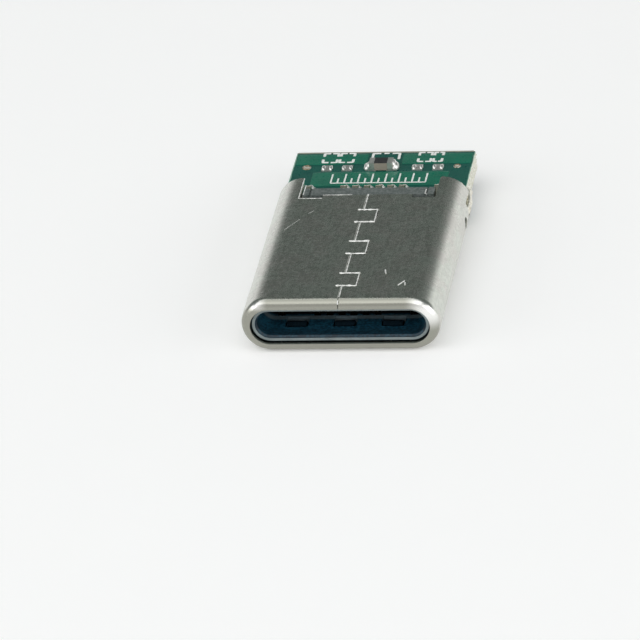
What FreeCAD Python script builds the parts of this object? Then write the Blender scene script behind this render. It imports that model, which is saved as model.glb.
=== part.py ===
import FreeCAD, Part
import math
import os
from FreeCAD import Vector

# A USB-C plug soldered to a small board with two wire pads, in millimetres.
# It is worked out about the plug's own centre line: the mouth is at y = 0, the board
# lies towards +Y, X is the width and z = 0 is the middle of the section. The seam side
# of the shell faces +Z and the wire pads face -Z. save() then moves each piece so that
# the origin is at the middle of the underside.

# Shell: one folded sheet
SHELL_WIDTH = 8.25
SHELL_HEIGHT = 2.40
SHEET = 0.25
LIP_ROUND = 0.40
WING_WIDTH = 1.225
SEAM_SIDE_BAR = 0.66
PAD_SIDE_BAR = 0.95
CUTOUT_GAP = 0.03
NOTCH_WIDTH = 1.00
NOTCH_DEPTH = 0.27
SEAM_WING_REACH = 0.84
PAD_WING_REACH = 1.12
WING_CORNER = 0.10
SHEET_CORNER = 0.06
SLOT_LEAD = 0.30
SLOT_CORNER = 0.12

# Pressed bridge in each side wall, which locks the shell to the blocks
BRIDGE_FROM_REAR = 1.10
BRIDGE_DIAMETER = 0.50
BRIDGE_WIDTH = 0.20
BRIDGE_PRESS = 0.06

# Seam: a through slit with three dovetail teeth and a broken edge
SEAM_X = 0.0
SEAM_SLIT = 0.03
SEAM_BREAK_WIDTH = 0.09
SEAM_BREAK_DEPTH = 0.035
TOOTH_REACH = 0.63
TOOTH_RELIEF = 0.18
TOOTH_LENGTH = 1.05
TOOTH_FLARE = 0.02
FIRST_TOOTH_Y = 1.28
TOOTH_PITCH = 2.70
TOOTH_COUNT = 3

# Front insulator
RIM_SETBACK = 0.20
RIM_GAP = 0.06
FIT = 0.03
INSULATOR_WALL = 0.36
INSULATOR_LENGTH = 5.00
CAVITY_CHAMFER = 0.07
CONTACT_SLOT_START = 1.95
CONTACT_CLEARANCE = 0.04

# Contact blocks
BLOCK_LENGTH = 4.52
BAR_SINK = 0.025
BAR_SIDE_GAP = 0.12
BAR_CHAMFER = 0.05
BAR_GROOVE_INSET = 0.30
BAR_GROOVE_WIDTH = 0.08
BAR_GROOVE_DEPTH = 0.08
CHANNEL_CLEARANCE = 0.01

# Contacts: the same strip in both rows, numbered by place
CONTACT_SIDE_GAP = 0.06
CONTACT_PLACES = (1, 4, 5, 6, 7, 8, 9, 12)
MIDDLE_PLACE = 6.5
CONTACT_WIDTH = 0.23
CONTACT_THICKNESS = 0.14
CONTACT_BEND = 0.13
CONTACT_REACH = 0.24
TIP_LEAD = 0.12
TIP_TO_DOME = 0.55
DOME_TO_KNEE = 1.30
STEP_START = 1.30
STEP_RUN = 0.55
EXIT_COVER = 0.06
EXIT_RUN = 0.66
DROP_RUN = 0.20
FOOT_LENGTH = 0.26

# Latch plate between the two blocks
LATCH_SHEET = 0.15
LATCH_ARM_WIDTH = 0.30
LATCH_TIP_Y = 2.10
LATCH_HOOK = 0.22
LATCH_HOOK_LENGTH = 0.60
LATCH_SHELL_GAP = 0.09
LATCH_BODY_INSET = 0.45
LATCH_BODY_LENGTH = 2.90
LATCH_SHOULDER = 0.50
LATCH_CLEARANCE = 0.04
LATCH_WINDOW_LENGTH = 0.70
LATCH_WINDOW_WIDTH = 1.10
LATCH_WINDOW_X = 1.80

# Grounding springs over and under the insulator
SPRING_SHEET = 0.07
SPRING_CLEARANCE = 0.01
SPRING_SIDE_GAP = 0.125
SPRING_PLATE_LENGTH = 1.40
FINGER_COUNT = 3
FINGER_INSET = 0.40
FINGER_WIDTH = 0.80
FINGER_REACH = 0.10
FINGER_RUN = 0.45
FINGER_TIP = 0.22
FINGER_TIP_RISE = 0.12
FINGER_BEND = 0.10
WINDOW_MARGIN = 0.08
WINDOW_WALL = 0.10

# Board
BOARD_SIDE_GAP = 0.025
BOARD_LENGTH = 4.56
BOARD_THICKNESS = 0.80
BOARD_GAP = 0.03
BOARD_SLOT_CLEARANCE = 0.075
BOARD_FRONT_CORNER = 0.30
BOARD_CHIP = 0.06
HOLE_DIAMETER = 0.30
VIA_DIAMETER = 0.20

# Copper on the board, with places measured back from its rear edge
PAD_THICKNESS = 0.035
WIRE_PAD_LENGTH = 1.70
WIRE_PAD_WIDTH = 2.05
WIRE_PAD_MARGIN = 0.10
MINUS_PAD_SIDE_MARGIN = 0.025
PLUS_PAD_SIDE_MARGIN = 0.165
CONTACT_PAD_LENGTH = 0.85
CONTACT_PAD_WIDTH = 0.30
CONTACT_PAD_LEAD = 0.30
COMPONENT_ROW = 1.48
COMPONENT_PAD_LENGTH = 0.50
COMPONENT_PAD_WIDTH = 0.44
COMPONENT_PAIR_PITCH = 0.88
COMPONENT_X = (-1.92, 0.0, 1.98)

# Places of the holes: (x from the pad's middle, distance from the rear edge) in the wire pads,
# (x, distance from the rear edge) for the vias, and (distance from the +X edge, distance from
# the rear edge) for the vias beside that edge
MINUS_PAD_HOLES = ((0.40, 0.62), (-0.45, 1.36))
PLUS_PAD_HOLES = ((0.09, 0.50),)
VIAS = ((-2.42, 2.75), (-1.90, 2.75), (-0.90, 2.30), (1.10, 2.70), (1.65, 2.70))
EDGE_VIAS = ((0.63, 1.36), (0.85, 2.95), (0.29, 2.95))

# Chip resistor
CHIP_LENGTH = 1.00
CHIP_WIDTH = 0.52
CHIP_HEIGHT = 0.34
CHIP_CAP = 0.22
CHIP_CAP_WALL = 0.02

# Solder
BEAD_LENGTH = 0.46
BEAD_WIDTH = 0.34
BEAD_HEIGHT = 0.24
BEAD_LEAD = 0.12
STRAY_BEAD_PLACE = 10
EDGE_SOLDER = 0.13
EDGE_SOLDER_LEAD = 0.25
EDGE_SOLDER_TAIL = 0.22
EDGE_SOLDER_ROUND = 0.10
WING_BEAD_WIDTH = 0.38
WING_BEAD_LENGTH = 0.22
WING_BEAD_HEIGHT = 0.28
BEAD_SLOPE = 0.45
CHIP_SOLDER_RUN = 0.18

# Worked out from the sizes above
half_width = SHELL_WIDTH / 2
half_height = SHELL_HEIGHT / 2
contact_row_width = 2 * (half_width - half_height - CONTACT_SIDE_GAP) - CONTACT_WIDTH
contact_pitch = contact_row_width / (CONTACT_PLACES[-1] - CONTACT_PLACES[0])
inner_half_width = half_width - SHEET
inner_half_height = half_height - SHEET
filling_half_width = inner_half_width - FIT
filling_half_height = inner_half_height - FIT
cavity_half_width = filling_half_width - INSULATOR_WALL
cavity_half_height = filling_half_height - INSULATOR_WALL
insulator_rear = RIM_SETBACK + INSULATOR_LENGTH
block_front = insulator_rear + FIT
block_rear = block_front + BLOCK_LENGTH
board_front = block_rear + BOARD_GAP
board_rear = board_front + BOARD_LENGTH
board_half = BOARD_THICKNESS / 2
board_edge = inner_half_width - BOARD_SIDE_GAP
pad_face = board_half + PAD_THICKNESS
minus_pad_x = -(board_edge - MINUS_PAD_SIDE_MARGIN - WIRE_PAD_WIDTH / 2)
plus_pad_x = board_edge - PLUS_PAD_SIDE_MARGIN - WIRE_PAD_WIDTH / 2
seam_wing_end = block_rear + SEAM_WING_REACH
pad_wing_end = block_rear + PAD_WING_REACH
cutout_half = half_width - WING_WIDTH
slot_half = board_half + BOARD_SLOT_CLEARANCE
latch_half = LATCH_SHEET / 2
bridge_y = block_rear - BRIDGE_FROM_REAR
run_z = cavity_half_height + CONTACT_THICKNESS / 2
exit_z = filling_half_height - EXIT_COVER
foot_z = pad_face + CONTACT_THICKNESS / 2
foot_start = block_rear + EXIT_RUN + DROP_RUN
foot_end = foot_start + FOOT_LENGTH
spring_half = half_width - half_height - SPRING_SIDE_GAP
spring_floor = inner_half_height - SPRING_SHEET - 2 * SPRING_CLEARANCE
spring_z = spring_floor + SPRING_CLEARANCE + SPRING_SHEET / 2
window_rear = CONTACT_SLOT_START - WINDOW_WALL
BEYOND = 2.0


def plan(z):
    """Place a flat outline in a level plane."""
    return lambda u, v: Vector(u, v, z)


def side(x):
    """Place a flat outline in an upright plane along the plug."""
    return lambda u, v: Vector(x, u, v)


def section(y):
    """Place a flat outline in a plane across the plug."""
    return lambda u, v: Vector(u, y, v)


def rounded_face(corners, place):
    """Face from (u, v, radius) corners; a radius too large for its sides is limited."""
    count = len(corners)
    turns = []
    for index, (u, v, radius) in enumerate(corners):
        corner = Vector(u, v, 0)
        before = Vector(*corners[index - 1][:2], 0) - corner
        after = Vector(*corners[(index + 1) % count][:2], 0) - corner
        half_angle = before.getAngle(after) / 2
        room = 0.49 * min(before.Length, after.Length) * math.tan(half_angle)
        radius = min(radius, room)
        reach = radius / math.tan(half_angle)
        before.normalize()
        after.normalize()
        middle = before + after
        if radius == 0 or middle.Length == 0:
            turns.append((corner, None, corner))
            continue
        middle.normalize()
        crown = corner + middle * (radius / math.sin(half_angle) - radius)
        turns.append((corner + before * reach, crown, corner + after * reach))
    edges = []
    for index, (start, crown, end) in enumerate(turns):
        if crown is not None:
            arc = Part.Arc(*[place(point.x, point.y) for point in (start, crown, end)])
            edges.append(arc.toShape())
        following = turns[(index + 1) % count][0]
        edges.append(Part.makeLine(place(end.x, end.y), place(following.x, following.y)))
    return Part.Face(Part.Wire(edges))


def box(x0, x1, y0, y1, z0, z1):
    """Block between two corners."""
    return Part.makeBox(x1 - x0, y1 - y0, z1 - z0, Vector(x0, y0, z0))


def stadium(half_w, half_h, y0, y1):
    """Straight length with flat top and bottom and half-round sides."""
    flat = half_w - half_h
    edges = [
        Part.makeLine(Vector(-flat, y0, half_h), Vector(flat, y0, half_h)),
        Part.Arc(Vector(flat, y0, half_h), Vector(half_w, y0, 0), Vector(flat, y0, -half_h)).toShape(),
        Part.makeLine(Vector(flat, y0, -half_h), Vector(-flat, y0, -half_h)),
        Part.Arc(Vector(-flat, y0, -half_h), Vector(-half_w, y0, 0), Vector(-flat, y0, half_h)).toShape(),
    ]
    return Part.Face(Part.Wire(edges)).extrude(Vector(0, y1 - y0, 0))


def edges_at_y(shape, y):
    """Edges that lie wholly in the plane at y."""
    near = 1e-6
    return [edge for edge in shape.Edges if max(abs(v.Y - y) for v in edge.Vertexes) < near]


def bent_strip(path, thickness, width, x):
    """Strip of sheet that follows (y, z, bend) points; a bend of 0 is left as a slight crease."""
    points = [Vector(y, z, 0) for y, z, bend in path]
    left = []
    right = []
    for index, point in enumerate(points):
        ahead = points[min(index + 1, len(points) - 1)] - points[min(index, len(points) - 2)]
        behind = points[max(index, 1)] - points[max(index - 1, 0)]
        ahead.normalize()
        behind.normalize()
        normal_ahead = Vector(-ahead.y, ahead.x, 0)
        normal_behind = Vector(-behind.y, behind.x, 0)
        normal = normal_ahead + normal_behind
        normal.normalize()
        offset = normal * (thickness / 2 / normal.dot(normal_ahead))
        bend = path[index][2]
        lean = math.copysign(thickness / 2, behind.cross(ahead).z) if bend else 0
        left.append((point.x + offset.x, point.y + offset.y, bend - lean))
        right.append((point.x - offset.x, point.y - offset.y, bend + lean))
    face = rounded_face(left + right[::-1], side(x - width / 2))
    return face.extrude(Vector(width, 0, 0))


def turned_over(shape):
    """The same piece on the other side: half a turn about the plug's centre line."""
    copy = shape.copy()
    copy.rotate(Vector(0, 0, 0), Vector(0, 1, 0), 180)
    return copy


def contact_x(place):
    """Place of a contact across the plug, from its standard number."""
    return (place - MIDDLE_PLACE) * contact_pitch


def seam_runs():
    """Straight runs of the seam as (x0, y0, x1, y1), from the lip to the cut-out."""
    reach = SEAM_X + TOOTH_REACH
    relief = SEAM_X - TOOTH_RELIEF
    runs = []
    start = -BEYOND
    for index in range(TOOTH_COUNT):
        near = FIRST_TOOTH_Y + index * TOOTH_PITCH
        far = near + TOOTH_LENGTH
        runs.append((SEAM_X, start, SEAM_X, near))
        runs.append((relief, near, reach, near - TOOTH_FLARE))
        runs.append((reach, near - TOOTH_FLARE, reach, far + TOOTH_FLARE))
        runs.append((relief, far, reach, far + TOOTH_FLARE))
        start = far
    runs.append((SEAM_X, start, SEAM_X, block_rear))
    return runs


def seam_groove(run, width, depth):
    """Wedge that breaks the two edges of one run of the seam."""
    x0, y0, x1, y1 = run
    along = Vector(x1 - x0, y1 - y0, 0)
    length = along.Length
    along.normalize()
    across = Vector(-along.y, along.x, 0) * (width / 2)
    foot = Vector(x0, y0, half_height - depth)
    top = Vector(x0, y0, half_height)
    wedge = Part.Face(Part.makePolygon([foot, top + across, top - across, foot]))
    return wedge.extrude(along * length)


def seam_slit(run):
    """Narrow slit through the sheet along one run of the seam."""
    x0, y0, x1, y1 = run
    along = Vector(x1 - x0, y1 - y0, 0)
    along.normalize()
    across = Vector(-along.y, along.x, 0) * (SEAM_SLIT / 2)
    ends = along * (SEAM_SLIT / 2)
    start = Vector(x0, y0, 0) - ends
    end = Vector(x1, y1, 0) + ends
    corners = [start - across, end - across, end + across, start + across]
    outline = Part.makePolygon(corners + corners[:1])
    return Part.Face(outline).extrude(Vector(0, 0, half_height + SHEET))


def cutout(bar_length, wing_end):
    """What is cut from one face of the shell: the opening between its wings, and past them."""
    edge = block_rear - bar_length - CUTOUT_GAP
    notch = edge - NOTCH_DEPTH
    inner = cutout_half - NOTCH_WIDTH
    far = block_rear + PAD_WING_REACH + BEYOND
    half = [
        (inner, edge, 0),
        (inner, notch, 0),
        (cutout_half, notch, 0),
        (cutout_half, wing_end, WING_CORNER),
        (half_width + BEYOND, wing_end, 0),
        (half_width + BEYOND, far, 0),
    ]
    other = [(-x, y, radius) for x, y, radius in reversed(half)]
    return rounded_face(half + other, plan(slot_half / 2)).extrude(Vector(0, 0, SHELL_HEIGHT))


def side_slot():
    """What is cut from both side walls, where the board's edges lie."""
    front = board_front - SLOT_LEAD
    far = pad_wing_end + BEYOND
    corners = [
        (front, -slot_half, SLOT_CORNER),
        (far, -slot_half, 0),
        (far, slot_half, 0),
        (front, slot_half, SLOT_CORNER),
    ]
    return rounded_face(corners, side(-half_width - BEYOND)).extrude(Vector(SHELL_WIDTH + 2 * BEYOND, 0, 0))


def pressed_bridge(wall, direction):
    """Round hole with a strip left across it, pressed inwards; returns hole and strip."""
    start = Vector(direction * cavity_half_width, bridge_y, 0)
    axis = Vector(direction, 0, 0)
    radius = BRIDGE_DIAMETER / 2
    hole = Part.makeCylinder(radius, half_width, start, axis)
    strip = box(-half_width, half_width, bridge_y - BRIDGE_WIDTH / 2, bridge_y + BRIDGE_WIDTH / 2,
                -radius, radius)
    bridge = wall.common(strip).common(Part.makeCylinder(radius, half_width, start, axis))
    bridge.translate(axis * -BRIDGE_PRESS)
    return hole, bridge


def make_shell():
    """Folded shell with its curled lip, seam, cut-outs, wings, slots and bridges."""
    curl = LIP_ROUND - SHEET
    outer = stadium(half_width, half_height, 0, pad_wing_end)
    outer = outer.makeFillet(LIP_ROUND, edges_at_y(outer, 0))
    hollow = stadium(inner_half_width, inner_half_height, SHEET, pad_wing_end + BEYOND)
    if curl > 0:
        hollow = hollow.makeFillet(curl, edges_at_y(hollow, SHEET))
    mouth = stadium(half_width - LIP_ROUND, half_height - LIP_ROUND, -BEYOND, LIP_ROUND)
    wall = outer.cut(hollow)
    shell = wall.cut([
        mouth,
        cutout(SEAM_SIDE_BAR, seam_wing_end),
        turned_over(cutout(PAD_SIDE_BAR, pad_wing_end)),
        side_slot(),
    ])
    for direction in (1, -1):
        hole, bridge = pressed_bridge(wall, direction)
        shell = shell.cut(hole).fuse(bridge)
    runs = seam_runs()
    grooves = [seam_groove(run, SEAM_BREAK_WIDTH, SEAM_BREAK_DEPTH) for run in runs]
    return shell.cut(grooves + [seam_slit(run) for run in runs])


def contact_path():
    """Centre line of an upper contact as (y, z, bend) points, from its tip to its foot."""
    tip_y = CONTACT_SLOT_START + TIP_LEAD
    dome_y = tip_y + TIP_TO_DOME
    step_y = block_front + STEP_START
    bend_y = block_rear + EXIT_RUN
    return [
        (tip_y, cavity_half_height, 0),
        (dome_y, cavity_half_height - CONTACT_REACH, CONTACT_BEND),
        (dome_y + DOME_TO_KNEE, run_z, 0),
        (step_y, run_z, 0),
        (step_y + STEP_RUN, exit_z, 0),
        (bend_y, exit_z, CONTACT_BEND),
        (foot_start, foot_z, CONTACT_BEND),
        (foot_end, foot_z, 0),
    ]


def make_contact(place):
    """One spring contact of the upper row."""
    x = contact_x(place)
    return bent_strip(contact_path(), CONTACT_THICKNESS, CONTACT_WIDTH, x)


def finger_x():
    """Places of the grounding fingers across the plug."""
    outer = spring_half - FINGER_INSET - FINGER_WIDTH / 2
    middle = (FINGER_COUNT - 1) / 2
    return [(index - middle) / middle * outer for index in range(FINGER_COUNT)]


def finger_path():
    """Centre line of a grounding finger as (y, z, bend) points, from its plate to its tip."""
    knee_y = window_rear - WINDOW_MARGIN
    dome_y = knee_y - FINGER_RUN
    dome_z = cavity_half_height - FINGER_REACH
    return [
        (CONTACT_SLOT_START + FINGER_RUN, spring_z, 0),
        (knee_y, spring_z, 0),
        (dome_y, dome_z, FINGER_BEND),
        (dome_y - FINGER_TIP, dome_z + FINGER_TIP_RISE, 0),
    ]


def make_ground_spring():
    """Thin spring plate over the insulator, with fingers that reach into the mouth."""
    start = CONTACT_SLOT_START + FINGER_BEND
    spring = box(-spring_half, spring_half, start, start + SPRING_PLATE_LENGTH,
                 spring_z - SPRING_SHEET / 2, spring_z + SPRING_SHEET / 2)
    fingers = [bent_strip(finger_path(), SPRING_SHEET, FINGER_WIDTH, x) for x in finger_x()]
    return spring.fuse(fingers).removeSplitter()


def insulator_cuts():
    """Slots, windows and pocket that are cut on the upper side of the insulator."""
    slot_top = run_z + CONTACT_THICKNESS / 2 + CONTACT_CLEARANCE
    slot_side = CONTACT_WIDTH / 2 + CONTACT_CLEARANCE
    rear = insulator_rear + BEYOND
    cuts = []
    for place in CONTACT_PLACES:
        x = contact_x(place)
        cuts.append(box(x - slot_side, x + slot_side, CONTACT_SLOT_START, rear, 0, slot_top))
    window_front = finger_path()[-1][0] - WINDOW_MARGIN
    window_side = FINGER_WIDTH / 2 + WINDOW_MARGIN
    for x in finger_x():
        cuts.append(box(x - window_side, x + window_side, window_front, window_rear, 0, half_height))
    pocket_side = spring_half + SPRING_SIDE_GAP / 2
    pocket_rear = CONTACT_SLOT_START + FINGER_BEND + SPRING_PLATE_LENGTH + WINDOW_MARGIN
    cuts.append(box(-pocket_side, pocket_side, window_front, pocket_rear, spring_floor, half_height))
    return cuts


def make_front_insulator():
    """Moulded nose liner: a rim behind the lip, the cavity, and slots for all the springs."""
    rim = stadium(half_width - LIP_ROUND - RIM_GAP, half_height - LIP_ROUND - RIM_GAP,
                  RIM_SETBACK, LIP_ROUND + 2 * FIT)
    body = stadium(filling_half_width, filling_half_height, LIP_ROUND + FIT, insulator_rear)
    liner = rim.fuse(body)
    cavity = stadium(cavity_half_width, cavity_half_height, RIM_SETBACK, insulator_rear + BEYOND)
    lead_in = stadium(cavity_half_width + CAVITY_CHAMFER, cavity_half_height + CAVITY_CHAMFER,
                      RIM_SETBACK, RIM_SETBACK + 2 * CAVITY_CHAMFER)
    lead_in = lead_in.makeChamfer(CAVITY_CHAMFER, edges_at_y(lead_in, RIM_SETBACK + 2 * CAVITY_CHAMFER))
    upper = insulator_cuts()
    arm_slot = latch_half + LATCH_CLEARANCE
    arm_start = LATCH_TIP_Y - 2 * LATCH_CLEARANCE
    arms = box(-SHELL_WIDTH, SHELL_WIDTH, arm_start, insulator_rear + BEYOND, -arm_slot, arm_slot)
    return liner.cut([cavity, lead_in, arms] + upper + [turned_over(cut) for cut in upper])


def make_contact_block(bar_length):
    """Upper moulded block, with channels for its contacts and a bar that fills the cut-out."""
    floor = latch_half + CHANNEL_CLEARANCE
    block = stadium(filling_half_width, filling_half_height, block_front, block_rear)
    block = block.common(box(-SHELL_WIDTH, SHELL_WIDTH, 0, board_rear, floor, SHELL_HEIGHT))
    half = cutout_half - BAR_SIDE_GAP
    top = half_height - BAR_SINK
    front = block_rear - bar_length
    bar_outline = [
        (front, floor, 0),
        (block_rear, floor, 0),
        (block_rear, top - BAR_CHAMFER, 0),
        (block_rear - BAR_CHAMFER, top, 0),
        (front, top, 0),
    ]
    bar = rounded_face(bar_outline, side(-half)).extrude(Vector(2 * half, 0, 0))
    block = block.fuse(bar).removeSplitter()
    cuts = []
    for direction in (1, -1):
        groove = direction * (half - BAR_GROOVE_INSET)
        cuts.append(box(groove - BAR_GROOVE_WIDTH / 2, groove + BAR_GROOVE_WIDTH / 2,
                        front, block_rear, top - BAR_GROOVE_DEPTH, SHELL_HEIGHT))
        start = Vector(direction * (inner_half_width - BRIDGE_PRESS - 2 * FIT), bridge_y, 0)
        cuts.append(Part.makeCylinder(BRIDGE_DIAMETER / 2 + FIT, SHEET, start, Vector(direction, 0, 0)))
    for place in CONTACT_PLACES:
        x = contact_x(place)
        gap = 2 * CHANNEL_CLEARANCE
        cuts.append(bent_strip(contact_path(), CONTACT_THICKNESS + gap, CONTACT_WIDTH + gap, x))
    return block.cut(cuts)


def make_latch_plate():
    """Middle plate whose two side arms hook the socket's tongue."""
    outer = inner_half_width - LATCH_SHELL_GAP
    inner = outer - LATCH_ARM_WIDTH
    body = outer - LATCH_BODY_INSET
    root = block_front + LATCH_SHOULDER
    rear = block_front + LATCH_BODY_LENGTH
    hook_end = LATCH_TIP_Y + LATCH_HOOK_LENGTH
    half = [
        (inner, root, LATCH_ARM_WIDTH),
        (inner, hook_end, 0),
        (inner - LATCH_HOOK, LATCH_TIP_Y + LATCH_HOOK_LENGTH / 2, SHEET_CORNER),
        (inner - LATCH_HOOK, LATCH_TIP_Y + LATCH_HOOK_LENGTH / 4, SHEET_CORNER),
        (inner, LATCH_TIP_Y, 0),
        (outer - LATCH_HOOK / 2, LATCH_TIP_Y, 0),
        (outer, hook_end, 0),
        (outer, root + LATCH_SHOULDER, 0),
        (body, root + 2 * LATCH_SHOULDER, LATCH_ARM_WIDTH),
        (body, rear, 0),
    ]
    other = [(-x, y, radius) for x, y, radius in reversed(half)]
    plate = rounded_face(half + other, plan(-latch_half)).extrude(Vector(0, 0, LATCH_SHEET))
    middle = (root + rear) / 2
    windows = []
    for x in (-LATCH_WINDOW_X, LATCH_WINDOW_X):
        windows.append(box(x - LATCH_WINDOW_WIDTH / 2, x + LATCH_WINDOW_WIDTH / 2,
                           middle - LATCH_WINDOW_LENGTH / 2, middle + LATCH_WINDOW_LENGTH / 2,
                           -LATCH_SHEET, LATCH_SHEET))
    return plate.cut(windows)


def from_rear(distance):
    """Place along the plug, from a distance measured back from the board's rear edge."""
    return board_rear - distance


def board_hole(x, distance, diameter):
    """Drill through the board and its copper."""
    start = Vector(x, from_rear(distance), -pad_face - BEYOND)
    return Part.makeCylinder(diameter / 2, 2 * (pad_face + BEYOND), start)


def wire_pad_holes(pad_x, places):
    """Drills through a wire pad whose middle is at pad_x."""
    return [board_hole(pad_x + offset, distance, HOLE_DIAMETER) for offset, distance in places]


def make_board():
    """Board with rounded front corners, chipped rear corners, plated holes and vias."""
    corners = [
        (-board_edge, board_front, BOARD_FRONT_CORNER),
        (board_edge, board_front, BOARD_FRONT_CORNER),
        (board_edge, board_rear - 2 * BOARD_CHIP, 0),
        (board_edge - BOARD_CHIP, board_rear - BOARD_CHIP / 2, 0),
        (board_edge - 2 * BOARD_CHIP, board_rear, 0),
        (-board_edge + BOARD_CHIP, board_rear, 0),
        (-board_edge, board_rear - BOARD_CHIP, 0),
    ]
    board = rounded_face(corners, plan(-board_half)).extrude(Vector(0, 0, BOARD_THICKNESS))
    holes = wire_pad_holes(minus_pad_x, MINUS_PAD_HOLES) + wire_pad_holes(plus_pad_x, PLUS_PAD_HOLES)
    holes += [board_hole(x, distance, VIA_DIAMETER) for x, distance in VIAS]
    holes += [board_hole(board_edge - inset, distance, VIA_DIAMETER) for inset, distance in EDGE_VIAS]
    return board.cut(holes)


def flat_pad(x, y, width, length, z):
    """Copper pad centred at (x, y), from z upwards by its thickness."""
    return box(x - width / 2, x + width / 2, y - length / 2, y + length / 2, z, z + PAD_THICKNESS)


def make_wire_pad(x, holes):
    """Tinned wire pad on the underside, drilled with the board."""
    y = from_rear(WIRE_PAD_MARGIN + WIRE_PAD_LENGTH / 2)
    pad = flat_pad(x, y, WIRE_PAD_WIDTH, WIRE_PAD_LENGTH, -pad_face)
    return pad.cut(wire_pad_holes(x, holes))


def make_contact_pads():
    """Copper pads under the feet of the upper contacts."""
    y = foot_start - CONTACT_PAD_LEAD + CONTACT_PAD_LENGTH / 2
    return [
        flat_pad(contact_x(place), y, CONTACT_PAD_WIDTH, CONTACT_PAD_LENGTH, board_half)
        for place in CONTACT_PLACES
    ]


def make_component_pads():
    """Three pairs of small pads across the seam side."""
    y = from_rear(COMPONENT_ROW)
    pads = []
    for x in COMPONENT_X:
        for direction in (-1, 1):
            centre = x + direction * COMPONENT_PAIR_PITCH / 2
            pads.append(flat_pad(centre, y, COMPONENT_PAD_WIDTH, COMPONENT_PAD_LENGTH, board_half))
    return pads


def chip_blocks():
    """Whole body of the chip resistor, and the box of each end cap."""
    x = COMPONENT_X[1]
    y = from_rear(COMPONENT_ROW)
    floor = pad_face
    body = box(x - CHIP_LENGTH / 2, x + CHIP_LENGTH / 2, y - CHIP_WIDTH / 2, y + CHIP_WIDTH / 2,
               floor, floor + CHIP_HEIGHT)
    ends = []
    for direction in (-1, 1):
        inside = x + direction * (CHIP_LENGTH / 2 - CHIP_CAP)
        outside = x + direction * CHIP_LENGTH / 2
        ends.append(box(min(inside, outside), max(inside, outside), y - CHIP_WIDTH / 2, y + CHIP_WIDTH / 2,
                        floor, floor + CHIP_HEIGHT))
    return body, ends


def make_resistor_body():
    """Ceramic body, thinner where the end caps wrap it."""
    body, ends = chip_blocks()
    x = COMPONENT_X[1]
    y = from_rear(COMPONENT_ROW)
    core = box(x - CHIP_LENGTH / 2 + CHIP_CAP_WALL, x + CHIP_LENGTH / 2 - CHIP_CAP_WALL,
               y - CHIP_WIDTH / 2 + CHIP_CAP_WALL, y + CHIP_WIDTH / 2 - CHIP_CAP_WALL,
               pad_face + CHIP_CAP_WALL, pad_face + CHIP_HEIGHT - CHIP_CAP_WALL)
    return body.cut(ends).fuse(core)


def make_resistor_caps():
    """Metal caps wrapped round the two ends of the resistor."""
    core = make_resistor_body()
    return [end.cut(core) for end in chip_blocks()[1]]


def sloped_face(low, high, base, top, place):
    """Upright outline with a flat foot between low and high, and a top that slopes at both ends."""
    slope = abs(top - base) * BEAD_SLOPE
    shoulder = base + (top - base) * BEAD_SLOPE
    corners = [
        (low, base, 0),
        (high, base, 0),
        (high, shoulder, 0),
        (high - slope, top, 0),
        (low + slope, top, 0),
        (low, shoulder, 0),
    ]
    return rounded_face(corners, place)


def lump(x0, x1, y0, y1, base, top):
    """Lump of solder on a level face, which slopes down on all four sides."""
    along = sloped_face(y0, y1, base, top, side(x0)).extrude(Vector(x1 - x0, 0, 0))
    across = sloped_face(x0, x1, base, top, section(y0)).extrude(Vector(0, y1 - y0, 0))
    return along.common(across)


def bead(x, y, length, width, height, base):
    """Bead of solder centred at (x, y) on the face at base."""
    return lump(x - width / 2, x + width / 2, y - length / 2, y + length / 2, base, base + height)


def make_foot_solder(places):
    """Beads over the ends of the upper contact feet at these places."""
    beads = []
    for place in places:
        x = contact_x(place)
        foot = box(x - CONTACT_WIDTH / 2, x + CONTACT_WIDTH / 2, foot_start - BEYOND, foot_end,
                   pad_face, pad_face + CONTACT_THICKNESS)
        solder = bead(x, foot_end, BEAD_LENGTH, BEAD_WIDTH, BEAD_HEIGHT, pad_face)
        behind_bend = box(x - BEAD_WIDTH, x + BEAD_WIDTH, foot_start + BEAD_LEAD, foot_end + BEYOND,
                          pad_face, pad_face + BEYOND)
        beads.append(solder.common(behind_bend).cut(foot))
    return beads


def make_shell_solder(direction):
    """Solder that joins one edge of the board to the two wings beside it."""
    start = board_front + EDGE_SOLDER_LEAD
    end = pad_wing_end + EDGE_SOLDER_TAIL
    outside = board_edge + EDGE_SOLDER
    along = [
        (board_edge, start, 0),
        (outside, start, EDGE_SOLDER_ROUND),
        (outside, end, EDGE_SOLDER_ROUND),
        (board_edge, end, 0),
    ]
    across = [
        (board_edge, -board_half, 0),
        (outside, -board_half, EDGE_SOLDER_ROUND),
        (outside, board_half, EDGE_SOLDER_ROUND),
        (board_edge, board_half, 0),
    ]
    coat = rounded_face(along, plan(-board_half)).extrude(Vector(0, 0, BOARD_THICKNESS))
    coat = coat.common(rounded_face(across, section(start)).extrude(Vector(0, end - start, 0)))
    pieces = []
    for wing_end, turn in ((seam_wing_end, 1), (pad_wing_end, -1)):
        whole = lump(board_edge - WING_BEAD_WIDTH, outside - EDGE_SOLDER_ROUND,
                     wing_end - WING_BEAD_LENGTH, wing_end + WING_BEAD_LENGTH,
                     turn * board_half, turn * (board_half + WING_BEAD_HEIGHT))
        low, high = sorted((turn * board_half, turn * (board_half + BEYOND)))
        past_wing = box(0, SHELL_WIDTH, wing_end, wing_end + BEYOND, low, high)
        pieces.append(whole.common(past_wing))
    solder = coat.fuse(pieces).removeSplitter()
    if direction > 0:
        return solder
    return solder.mirror(Vector(0, 0, 0), Vector(1, 0, 0))


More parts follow.
